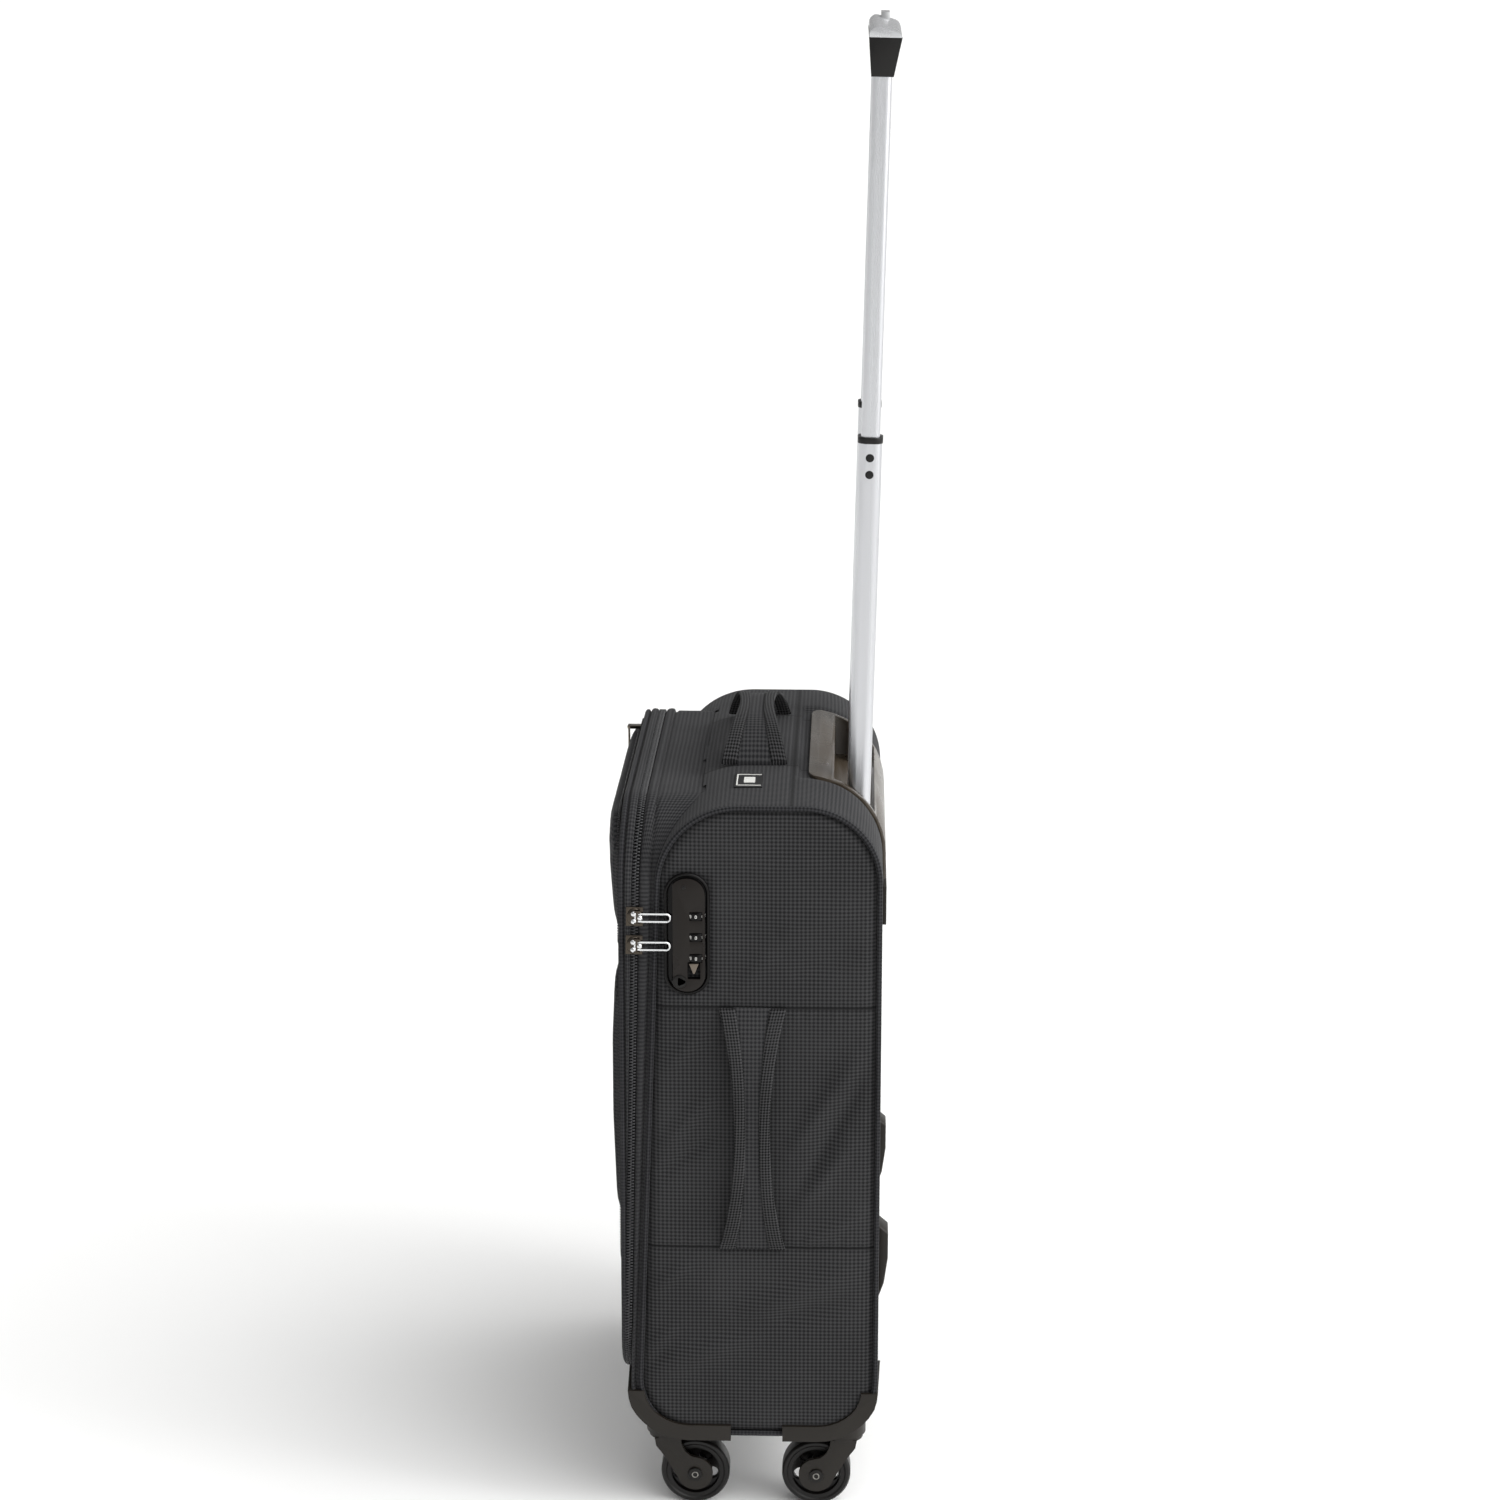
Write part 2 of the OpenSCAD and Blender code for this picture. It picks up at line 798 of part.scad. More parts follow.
module back_skids() {
    color("#16130f")
        for (s = [-1, 1])
            translate([s * 110, back_y, base_z + 88])
                along_x(22)
                    polygon([[0, 0], [skid_h * 0.6, 12], [skid_h, 32], [skid_h, 52], [0, 58]]);
}

module tag_holder() {
    color("#1a1713")
        translate([0, back_y, top_z - 115])
            difference() {
                translate([-37, 0, -15]) cube([74, 4, 30]);
                translate([-31, 2.5, -10]) cube([62, 4, 20]);
            }
}

// ---- Lock --------------------------------------------------------------------------

lock_z = top_z - lock_drop;
lock_r = 13;
lock_depth = wall + liner_gap - 1;
face_x = half_w + lock_proud;
ledge_w = 3.5;
ledge_x = half_w + 2;
dial_x = face_x + 1.2 - dial_r;
dial_y = lock_y + lock_w / 2 - dial_r - 0.4;
dial_z = lock_z - 1.5;
dial_h = 5.5;
key_y = lock_y - 5.5;
key_z = lock_z - lock_h / 2 + 8;
key_r = 5;
release_y = lock_y + 5;
release_z = dial_z - dial_pitch - dial_h / 2 - 4.75;

module lock_prism(x0, x1, d) {
    translate([x0, lock_y, lock_z])
        rotate([90, 0, 90])
            linear_extrude(x1 - x0)
                tube_2d(lock_w - 2 * d, lock_h - 2 * d, lock_r - d);
}

module lock_case() {
    color("#1b1815")
        difference() {
            union() {
                lock_prism(half_w - lock_depth, ledge_x, 0);
                intersection() {
                    lock_prism(half_w, face_x, 0.6);
                    translate([half_w, lock_y - lock_w / 2 + ledge_w, lock_z - lock_h])
                        cube([lock_proud + 1, lock_w, 2 * lock_h]);
                }
            }
            for (i = [-1, 0, 1])
                translate([dial_x, dial_y, dial_z + i * dial_pitch])
                    cylinder(r = dial_r + 0.4, h = dial_h + 0.8, center = true);
            translate([half_w - wall, key_y, key_z])
                rotate([0, 90, 0])
                    cylinder(r = key_r + fit, h = 30);
            translate([half_w, release_y - 4.5, release_z - 4.5 - release_stroke])
                cube([20, 9, 9 + release_stroke]);
        }
}

module dial(i) {
    color("#2a2825")
        translate([dial_x, dial_y, dial_z + i * dial_pitch])
            cylinder(r = dial_r, h = dial_h, center = true);
}

module dial_upper() dial(1);
module dial_middle() dial(0);
module dial_lower() dial(-1);

module key_plug() {
    color("#8d8478")
        difference() {
            translate([half_w - wall + 0.5, key_y, key_z])
                rotate([0, 90, 0])
                    cylinder(r = key_r, h = face_x - half_w + wall);
            translate([face_x - 2, key_y - 0.5, key_z - 2.5]) cube([5, 1, 5]);
        }
}

module lock_release() {
    color("#9d9a94")
        translate([half_w + 0.5, release_y, release_z])
            rotate([90, 0, 90])
                linear_extrude(lock_proud + 0.3)
                    polygon([[-3.6, 3.8], [3.6, 3.8], [0.6, -4], [-0.6, -4]]);
}

// Screws hold the trolley foot down and the lock's back edge to its plate.
module screws() {
    color("#8f9092")
        for (x = [-1, 1])
            translate([x * (tube_pitch / 2 - outer_w / 2 - 12), foot_y, foot_z + 16])
                cylinder(r = 4, h = 2);
}

// ---- Main zip sliders ----------------------------------------------------------------

slider_w = 12;
slider_h = 14;
slider_t = 1.6;
pivot_x = half_w + 4.3;
pivot_r = 1.1;
eye_r = 2.1;
eye_h = 7;
upper_slider_z = lock_z + 12.5;
lower_slider_z = lock_z - 8.5;
puller_l = lock_y - lock_w / 2 + ledge_w - 3 * gap - split_y(lock_z) - 2;

module at_slider(z) {
    translate([0, split_y(z), z]) rotate([-split_lean, 0, 0]) children();
}

module zip_slider(z) {
    color("#b9b0a2")
        at_slider(z) {
            translate([half_w + gap, -slider_w / 2, -slider_h / 2])
                cube([slider_t, slider_w, slider_h]);
            for (s = [-1, 1])
                translate([half_w + gap, 0, s * (eye_h / 2 + 0.3 + 0.8) - 0.8])
                    cube([pivot_x - half_w - gap + 1.6, 4, 1.6]);
            translate([pivot_x, 2, 0])
                cylinder(r = pivot_r, h = eye_h + 2, center = true, $fn = 32);
        }
}

// A puller is an eye on the slider's pin with a closed hairpin of wire.
module zip_puller(z) {
    wire = 2.2;
    loop_h = 6.6;
    color("#c9c9ca")
        at_slider(z)
            translate([pivot_x, 2, 0]) {
                difference() {
                    cylinder(r = eye_r, h = eye_h, center = true, $fn = 32);
                    cylinder(r = pivot_r + fit, h = eye_h + 1, center = true, $fn = 32);
                }
                rotate([90, 0, 90])
                    linear_extrude(wire, center = true)
                        difference() {
                            polygon(round_box(eye_r - 0.5, -loop_h / 2, puller_l, loop_h / 2, 3.2, 3.2));
                            polygon(round_box(eye_r + 1.6, 1.9 - loop_h / 2, puller_l - 1.9,
                                loop_h / 2 - 1.9, 1.3, 1.3));
                        }
            }
}

module slider_upper() zip_slider(upper_slider_z);
module slider_lower() zip_slider(lower_slider_z);
module puller_upper() zip_puller(upper_slider_z);
module puller_lower() zip_puller(lower_slider_z);

// ---- Lid and pockets -----------------------------------------------------------------

lid_l = front_h - lid_rise;
lid_tilt = atan((lid_depth_top - lid_depth_bottom) / lid_l);
lid_start = tape_t + gap;

// The lid's front face, with Z up from the lid's lower edge.
module on_lid() {
    on_split() translate([0, -lid_depth_bottom, lid_rise]) rotate([lid_tilt, 0, 0]) children();
}

function lid_side(z0, z1, y0, t) = [[-y0, z0], [-y0, z1],
    [-lid_depth_bottom - (z1 - lid_rise) * tan(lid_tilt) + t, z1],
    [-lid_depth_bottom - (z0 - lid_rise) * tan(lid_tilt) + t, z0]];

module lid_shell() {
    low = lid_rise + wall + 12;
    color("#39393b")
        difference() {
            intersection() {
                on_split() along_y(-30, -lid_start) polygon(lid_outline(0));
                on_split() along_x(case_w) polygon(lid_side(lid_rise, front_h, lid_start, 0));
            }
            intersection() {
                on_split() along_y(-30, 1) polygon(lid_outline(wall));
                on_split() along_x(case_w) polygon(lid_side(low, front_h, -1, lid_panel_t));
            }
        }
}

module lid_lining() {
    low = lid_rise + wall + 40;
    inset = tape_w + 3;
    color("#7f7f86")
        intersection() {
            on_split() along_y(-30, -lid_start) polygon(lid_outline(inset));
            on_split()
                along_x(case_w)
                    polygon(concat(
                        [for (z = [low, front_h])
                            [-lid_depth_bottom - (z - lid_rise) * tan(lid_tilt) + lid_panel_t + 0.8, z]],
                        [for (z = [front_h, low])
                            [-lid_depth_bottom - (z - lid_rise) * tan(lid_tilt) + lid_panel_t, z]]));
        }
}

module zip_tape_lid() color("#101012") zip_tape(-lid_start, -gap);

upper_pocket_top = lid_l - pocket_drop;
upper_pocket_low = upper_pocket_top - upper_pocket_h;
lower_pocket_top = upper_pocket_low - pocket_gap;
lower_pocket_low = pocket_base;
pocket_r = 38;
coil_t = 1.2;

function upper_outline(d) = round_box(-pocket_w / 2 + d, upper_pocket_low + d,
    pocket_w / 2 - d, upper_pocket_top - d, 12 - d, pocket_r - d);
function lower_outline(d) = round_box(-pocket_w / 2 + d, lower_pocket_low + d,
    pocket_w / 2 - d, lower_pocket_top - d, 30 - d, pocket_r - d);

module upper_pocket() {
    color("#3d3d3f")
        on_lid()
            intersection() {
                along_y(-40, 0) polygon(upper_outline(0));
                along_x(case_w)
                    polygon([[0, upper_pocket_low], [0, upper_pocket_top],
                        [2 - upper_pocket_t, upper_pocket_top],
                        [-upper_pocket_t, upper_pocket_top - 4], [-2.5, upper_pocket_low]]);
            }
}

module lower_pocket() {
    low = lower_pocket_low;
    top = lower_pocket_top;
    color("#3d3d3f")
        on_lid()
            intersection() {
                along_y(-40, 0) polygon(lower_outline(0));
                along_x(case_w)
                    polygon([[0, low], [0, top], [-3, top], [-lower_pocket_t, top - (top - low) / 4],
                        [-lower_pocket_t, low + (top - low) / 2], [-1.5, low]]);
            }
}

module pocket_zips() {
    color("#0d0d0e")
        on_lid()
            along_y(-1.5, 0) {
                difference() {
                    polygon(upper_outline(-coil_t));
                    polygon(upper_outline(0));
                }
                difference() {
                    polygon(lower_outline(-coil_t));
                    polygon(lower_outline(0));
                }
            }
}

// A pocket slider stands on the top edge of its pocket, its pin in front of the pocket.
module pocket_slider(top, front) {
    color("#8b8073")
        on_lid()
            translate([-pocket_slider_x, 0, top + coil_t + gap]) {
                translate([-3.5, -front, 0]) cube([7, front - 0.3, 2.4]);
                for (s = [-1, 1])
                    translate([s * 3 - 0.6, -front - 2.4, 0]) cube([1.2, 2.5, 2.4]);
                translate([0, -front - 1.5, 1.2])
                    rotate([0, 90, 0])
                        cylinder(r = 0.8, h = 6, center = true, $fn = 32);
            }
}

module pocket_puller(top, front) {
    tab_l = 22;
    color("#8b8073")
        on_lid()
            translate([-pocket_slider_x, -front - 1.5, top + coil_t + gap + 1.2]) {
                difference() {
                    rotate([0, 90, 0]) cylinder(r = 1.4, h = 4.2, center = true, $fn = 32);
                    rotate([0, 90, 0]) cylinder(r = 0.8 + fit, h = 5, center = true, $fn = 32);
                }
                translate([0, 0.7, 0])
                    along_y(-1.4, 0)
                        difference() {
                            polygon(round_box(-2.1, -tab_l, 2.1, -1.1, 1.9, 0.4));
                            polygon(round_box(-1.1, 4 - tab_l, 1.1, -6, 1, 1));
                        }
            }
}

upper_front = upper_pocket_t + 0.4;
lower_front = 4;

module pocket_slider_upper() pocket_slider(upper_pocket_top, upper_front);
module pocket_slider_lower() pocket_slider(lower_pocket_top, lower_front);
module pocket_puller_upper() pocket_puller(upper_pocket_top, upper_front);
module pocket_puller_lower() pocket_puller(lower_pocket_top, lower_front);

side_panel_right();
side_panel_left();
top_gusset();
back_panel();
bottom_panel();
front_frame();
piping();
lining();
back_board();
frame_hoops();
base_tray();
corner_guards();
trolley_housing();
outer_tubes();
trolley_foot();
back_skids();
tag_holder();
top_handle();
side_handle();
side_feet();
lock_case();
screws();
zip_tape_case();
dial_upper();
dial_middle();
dial_lower();
lock_release();
key_plug();
slider_upper();
slider_lower();
puller_upper();
puller_lower();
lid_shell();
zip_tape_lid();
upper_pocket();
lower_pocket();
pocket_zips();
lid_lining();
pocket_slider_upper();
pocket_slider_lower();
pocket_puller_upper();
pocket_puller_lower();
middle_tubes();
tube_collars();
inner_tubes();
grip_sleeves();
grip();
grip_button();
fork_front_right();
fork_front_left();
fork_rear_right();
fork_rear_left();
axle_front_right();
axle_front_left();
axle_rear_right();
axle_rear_left();
wheel_front_right();
wheel_front_left();
wheel_rear_right();
wheel_rear_left();
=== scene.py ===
import math

import bmesh
import bpy
import numpy as np
from mathutils import Matrix, Vector, kdtree, noise


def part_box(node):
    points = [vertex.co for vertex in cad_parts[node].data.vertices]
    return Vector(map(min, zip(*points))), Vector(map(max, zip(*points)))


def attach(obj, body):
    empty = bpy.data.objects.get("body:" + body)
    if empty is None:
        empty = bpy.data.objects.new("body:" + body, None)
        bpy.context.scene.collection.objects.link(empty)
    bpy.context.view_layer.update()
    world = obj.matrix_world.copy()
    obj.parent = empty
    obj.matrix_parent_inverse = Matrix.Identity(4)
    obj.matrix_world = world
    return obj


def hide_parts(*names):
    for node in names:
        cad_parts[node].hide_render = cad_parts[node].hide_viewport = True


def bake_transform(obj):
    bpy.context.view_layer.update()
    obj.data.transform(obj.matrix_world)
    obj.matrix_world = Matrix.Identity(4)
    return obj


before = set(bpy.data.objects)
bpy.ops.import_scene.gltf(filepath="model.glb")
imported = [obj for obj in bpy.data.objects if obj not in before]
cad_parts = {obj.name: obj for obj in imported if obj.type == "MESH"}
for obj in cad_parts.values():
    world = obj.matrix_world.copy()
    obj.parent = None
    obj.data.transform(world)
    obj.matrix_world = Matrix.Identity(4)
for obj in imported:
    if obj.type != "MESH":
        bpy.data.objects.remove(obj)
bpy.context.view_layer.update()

# ---- Studio -----------------------------------------------------------------------
# A pale painted floor that runs out of sight, a white room that is brightest high up
# behind the case, one soft strip light there, and a long lens on the lock side.

def linear(hex_colour):
    """An sRGB hex colour as the linear colour that a shader takes."""
    parts = [int(hex_colour[i:i + 2], 16) / 255 for i in (1, 3, 5)]
    return [c / 12.92 if c < 0.04045 else ((c + 0.055) / 1.055) ** 2.4 for c in parts] + [1]


def node(material, kind, inputs=(), **settings):
    """Adds a node with its settings, and links or sets its inputs."""
    made = material.node_tree.nodes.new("ShaderNode" + kind)
    for key, value in settings.items():
        setattr(made, key, value)
    for key, value in dict(inputs).items():
        if isinstance(value, bpy.types.NodeSocket):
            material.node_tree.links.new(value, made.inputs[key])
        else:
            made.inputs[key].default_value = value
    return made


def finish(name, colour, roughness, **sockets):
    """A material with its constant values set on the shader itself."""
    material = bpy.data.materials.new(name)
    material.use_nodes = True
    shader = material.node_tree.nodes["Principled BSDF"]
    shader.inputs["Base Color"].default_value = linear(colour)
    shader.inputs["Roughness"].default_value = roughness
    for key, value in sockets.items():
        shader.inputs[key.replace("_", " ")].default_value = value
    return material, shader


def wire(material, source, target):
    material.node_tree.links.new(source, target)


floor_paint, shader = finish("matt_floor_paint", "#f4f4f3", 0.85)
place = node(floor_paint, "TexCoord")
cloud = node(floor_paint, "TexNoise", {"Vector": place.outputs["Object"], "Scale": 1.3, "Detail": 3})
tone = node(floor_paint, "ValToRGB", {"Fac": cloud.outputs["Fac"]})
tone.color_ramp.elements[0].color = linear("#f1f1f0")
tone.color_ramp.elements[1].color = linear("#f7f7f6")
wire(floor_paint, tone.outputs["Color"], shader.inputs["Base Color"])
bpy.ops.object.select_all(action="DESELECT")
bpy.ops.mesh.primitive_grid_add(x_subdivisions=8, y_subdivisions=8, size=90, location=(0, 0, 0))
floor = bpy.context.object
floor.name = "floor"
floor.data.materials.append(floor_paint)

world = bpy.data.worlds.new("white_room")
world.use_nodes = True
glow = world.node_tree.nodes["Background"]
glow.inputs["Color"].default_value = (1, 1, 1, 1)
sky = node(world, "TexCoord")
towards = node(world, "VectorMath", {0: sky.outputs["Generated"], 1: (0.28, 0.66, 0.70)},
               operation="DOT_PRODUCT")
above = node(world, "Math", {0: towards.outputs["Value"], 1: 0.0}, operation="MAXIMUM")
lobe = node(world, "Math", {0: above.outputs[0], 1: 4.0}, operation="POWER")
level = node(world, "Math", {0: lobe.outputs[0], 1: 3.5, 2: 0.42}, operation="MULTIPLY_ADD")
world.node_tree.links.new(level.outputs[0], glow.inputs["Strength"])
bpy.context.scene.world = world
bpy.context.scene.view_settings.view_transform = "Standard"


def soft_light(name, place, target, width, height, power):
    lamp = bpy.data.lights.new(name, "AREA")
    lamp.shape = "RECTANGLE"
    lamp.size = width
    lamp.size_y = height
    lamp.energy = power
    made = bpy.data.objects.new(name, lamp)
    made.location = place
    made.rotation_euler = (Vector(target) - Vector(place)).to_track_quat("-Z", "Y").to_euler()
    bpy.context.collection.objects.link(made)


soft_light("rim_light", (0.7, 1.9, 1.5), (0.1, 0, 0.5), 0.5, 1.6, 14)

lens = bpy.data.cameras.new("camera")
lens.lens = 79.76
lens.sensor_width = 36
lens_dip, lens_turn = math.radians(14.805), math.radians(1.829)
camera = bpy.data.objects.new("camera", lens)
camera.location = (2.4145, 0.0737, 1.1785)
camera.rotation_euler = (math.pi / 2 - lens_dip, 0, math.pi / 2 + lens_turn)
bpy.context.collection.objects.link(camera)
bpy.context.scene.camera = camera

# ---- Casters ----------------------------------------------------------------------
# Four swivel casters: moulded forks in a brown black plastic, cast polyurethane wheels
# and black axle bolts with a bright rim. Their edges are eased as moulded ones.

def select_only(obj):
    bpy.ops.object.select_all(action="DESELECT")
    obj.select_set(True)
    bpy.context.view_layer.objects.active = obj


def shaped(obj, kind, **settings):
    """Adds a modifier and applies it."""
    modifier = obj.modifiers.new(kind.lower(), kind)
    for key, value in settings.items():
        setattr(modifier, key, value)
    select_only(obj)
    bpy.ops.object.modifier_apply(modifier=modifier.name)


def made_of(obj, material, body, angle=35):
    """Gives a new piece its finish, smooth shading, material slot and body."""
    obj.data.materials.clear()
    obj.data.materials.append(material)
    select_only(obj)
    bpy.ops.object.shade_smooth_by_angle(angle=math.radians(angle))
    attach(obj, body)


def eased(name, new_name, width, segments=2):
    """A merged copy of a CAD node with its sharp edges rounded."""
    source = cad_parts[name]
    obj = bpy.data.objects.new(new_name, source.data.copy())
    bpy.context.collection.objects.link(obj)
    select_only(obj)
    if obj.data.has_custom_normals:
        bpy.ops.mesh.customdata_custom_splitnormals_clear()
    bpy.ops.object.mode_set(mode="EDIT")
    bpy.ops.mesh.select_all(action="SELECT")
    bpy.ops.mesh.remove_doubles(threshold=0.000004)
    bpy.ops.mesh.dissolve_limited(angle_limit=math.radians(0.6))
    bpy.ops.object.mode_set(mode="OBJECT")
    if width:
        shaped(obj, "BEVEL", width=width / 1000, segments=segments, limit_method="ANGLE",
               angle_limit=math.radians(32), use_clamp_overlap=True, miter_outer="MITER_ARC")
    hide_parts(name)
    return obj


def coat(material, *names):
    for name in names:
        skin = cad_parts[name].data
        skin.materials.clear()
        skin.materials.append(material)


def grain(material, shader, scale_mm, depth_mm, strength=0.4, detail=3):
    """A fine moulded or cast grain of that size, as bump and a little uneven gloss."""
    place = node(material, "TexCoord")
    speck = node(material, "TexNoise", {"Vector": place.outputs["Object"], "Scale": 1000 / scale_mm,
                                        "Detail": detail, "Roughness": 0.6})
    bump = node(material, "Bump", {"Height": speck.outputs["Fac"], "Strength": strength,
                                   "Distance": depth_mm / 1000})
    wire(material, bump.outputs["Normal"], shader.inputs["Normal"])
    patch = node(material, "TexNoise", {"Vector": place.outputs["Object"], "Scale": 22, "Detail": 4})
    low = shader.inputs["Roughness"].default_value
    gloss = node(material, "MapRange", {"Value": patch.outputs["Fac"], "From Min": 0.3, "From Max": 0.7,
                                        "To Min": low - 0.06, "To Max": low + 0.08})
    wire(material, gloss.outputs["Result"], shader.inputs["Roughness"])
    return place


# Injection moulded ABS with a fine spark texture: brown black, with a soft sheen.
moulded_abs, shader = finish("moulded_abs_brown_black", "#1b1712", 0.4, Specular_IOR_Level=0.3)
grain(moulded_abs, shader, 0.7, 0.05)
# Cast polyurethane tyres: smoother and darker, with rolled dust on them.
cast_urethane, shader = finish("cast_urethane_black", "#0d0b0a", 0.36, Specular_IOR_Level=0.3)
grain(cast_urethane, shader, 1.6, 0.04, 0.25)
# Zinc plated steel bolts: grey, fairly bright, faintly mottled.
zinc_plate, shader = finish("zinc_plated_steel", "#8f8d88", 0.34, Metallic=1.0)
grain(zinc_plate, shader, 2.0, 0.02, 0.2)

# Black oxide on the bolt heads: dark, and a little glossy.
oxide_steel, shader = finish("black_oxide_steel", "#1a1918", 0.3, Metallic=0.6)
grain(oxide_steel, shader, 1.5, 0.02, 0.2)


def grid_piece(name, columns, rows, move):
    """A grid whose point (i, j) goes to move(i, j) -> (place in mm, u, v), with u and v in metres."""
    bpy.ops.object.select_all(action="DESELECT")
    bpy.ops.mesh.primitive_grid_add(x_subdivisions=columns - 1, y_subdivisions=rows - 1, size=1)
    obj = bpy.context.object
    obj.name = name
    mesh = obj.data
    spots = [(round((v.co.x + 0.5) * (columns - 1)), round((v.co.y + 0.5) * (rows - 1)))
             for v in mesh.vertices]
    moved = [move(i, j) for i, j in spots]
    for vertex, (spot, u, v) in zip(mesh.vertices, moved):
        vertex.co = Vector(spot) / 1000
    layer = mesh.uv_layers[0]
    layer.name = "UVMap"
    for loop in mesh.loops:
        layer.data[loop.index].uv = moved[loop.vertex_index][1:]
    mesh.update()
    return obj


def closed_up(obj):
    """Joins a grid's meeting edges, fills any open end and turns the faces outward."""
    select_only(obj)
    bpy.ops.object.mode_set(mode="EDIT")
    bpy.ops.mesh.select_all(action="SELECT")
    bpy.ops.mesh.remove_doubles(threshold=0.00001)
    bpy.ops.mesh.select_all(action="DESELECT")
    bpy.ops.mesh.select_non_manifold()
    bpy.ops.mesh.fill_holes(sides=0)
    bpy.ops.mesh.select_all(action="SELECT")
    bpy.ops.mesh.normals_make_consistent(inside=False)
    bpy.ops.object.mode_set(mode="OBJECT")


rim_r, rim_wire = 2.1, 0.5
for corner in ("front_right", "front_left", "rear_right", "rear_left"):
    fork = eased("fork_" + corner, "caster_fork_" + corner, 0.9, 3)
    made_of(fork, moulded_abs, "caster_" + corner)
    axle = eased("axle_" + corner, "axle_bolt_" + corner, 0.5)
    made_of(axle, oxide_steel, "caster_" + corner)
    low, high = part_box("axle_" + corner)
    middle = (Vector(low) + Vector(high)) / 2
    for side in (-1, 1):
        def rim_spot(i, j, middle=middle * 1000, end=side * ((high[0] - low[0]) * 500 - 0.1), side=side):
            turn, roll = 2 * math.pi * i / 20, 2 * math.pi * j / 8
            out = rim_r + rim_wire * math.cos(roll)
            return ((middle.x + end + side * rim_wire * math.sin(roll), middle.y + out * math.cos(turn),
                     middle.z + out * math.sin(turn)), i / 100, j / 100)
        rim = grid_piece("axle_rim", 21, 9, rim_spot)
        closed_up(rim)
        rim.name = "axle_rim_" + corner + ("_outer" if side * middle.x > 0 else "_inner")
        made_of(rim, zinc_plate, "caster_" + corner)
    wheel = eased("wheel_" + corner, "caster_wheel_" + corner, 0.35)
    made_of(wheel, cast_urethane, "wheel_" + corner)

guards = eased("corner_guards", "moulded_corner_guards", 1.6, 3)
for vertex in guards.data.vertices:
    x, y, z = vertex.co * 1000
    if z > 84 and abs(x) > 150:
        fade = (z - 84) / 14
        vertex.co.y -= math.copysign(min(fade, 1) * 2.0, y) / 1000
made_of(guards, moulded_abs, "case")

# ---- Case walls -------------------------------------------------------------------
# Ripstop polyester with a small woven check, laminated to foam. The side panels carry
# two cross seams and shallow slanting folds; the gusset wraps over the top and back.

base_z, top_z, half_w, back_y = 62, 545, 172.5, 96
seam_lean, split_lean = math.radians(2.2), math.radians(1.3)


def seam_y(z):
    return -82 + (z - base_z) * math.tan(seam_lean)


def split_y(z):
    return -88.8 + (z - base_z) * math.tan(split_lean)


def arc(y, z, r, start, end, parts=24):
    turns = [math.radians(start + (end - start) * i / parts) for i in range(parts + 1)]
    return [(y + r * math.cos(t), z + r * math.sin(t)) for t in turns]


def front_centre(r, z):
    return seam_y(z) + r / math.cos(seam_lean)


top_front = (front_centre(60, top_z - 60), top_z - 60)
low_front = (front_centre(45, base_z + 45), base_z + 45)


def side_loop(inset):
    """The side panel's outline, from the top back corner forward and round."""
    return (arc(back_y - 56, top_z - 56, 56 - inset, 0, 90)
            + arc(*top_front, 60 - inset, 90, 180 - 2.2)
            + arc(*low_front, 45 - inset, 180 - 2.2, 270)
            + arc(back_y - 45, base_z + 45, 45 - inset, 270, 360))


def walk(points, step, closed=False):
    """Stations along a path: place, outward normal of an anticlockwise path, and length."""
    path = [Vector(p) for p in points]
    if closed:
        path.append(path[0])
    ends = [0.0]
    for a, b in zip(path, path[1:]):
        ends.append(ends[-1] + (b - a).length)

    def at(s):
        s = s % ends[-1] if closed else min(max(s, 0), ends[-1])
        i = min(max(int(np.searchsorted(ends, s)) - 1, 0), len(path) - 2)
        span = ends[i + 1] - ends[i]
        return path[i].lerp(path[i + 1], (s - ends[i]) / span if span else 0)

    count = max(2, round(ends[-1] / step))
    stations = []
    for i in range(count + 1):
        s = ends[-1] * i / count
        along = (at(s + 0.8) - at(s - 0.8)).normalized()
        p = at(s)
        stations.append((p.x, p.y, along.y, -along.x, s))
    return stations


def face_out(obj, inside):
    """Turns the faces so that they point away from a point inside the piece."""
    mesh = obj.data
    away = sum((p.center - Vector(inside) / 1000).dot(p.normal) * p.area for p in mesh.polygons)
    if away < 0:
        mesh.flip_normals()


def sweep(name, stations, section, place, shape=None, inside=(0, 0, 300), wall=1.2, closed=False):
    """A cloth sheet swept along the stations; section is a list of (out, side, length across)."""
    def move(i, j):
        a, b, na, nb, s = stations[i]
        out, side, t = section[j]
        if shape:
            out = out + shape(a, b, side, s)
        return place(a + na * out, b + nb * out, side), s / 1000, t / 1000
    obj = grid_piece(name, len(stations), len(section), move)
    if closed:
        select_only(obj)
        bpy.ops.object.mode_set(mode="EDIT")
        bpy.ops.mesh.select_all(action="SELECT")
        bpy.ops.mesh.remove_doubles(threshold=0.00002)
        bpy.ops.object.mode_set(mode="OBJECT")
    face_out(obj, inside)
    if wall:
        shaped(obj, "SOLIDIFY", thickness=wall / 1000, offset=-1)
    return obj


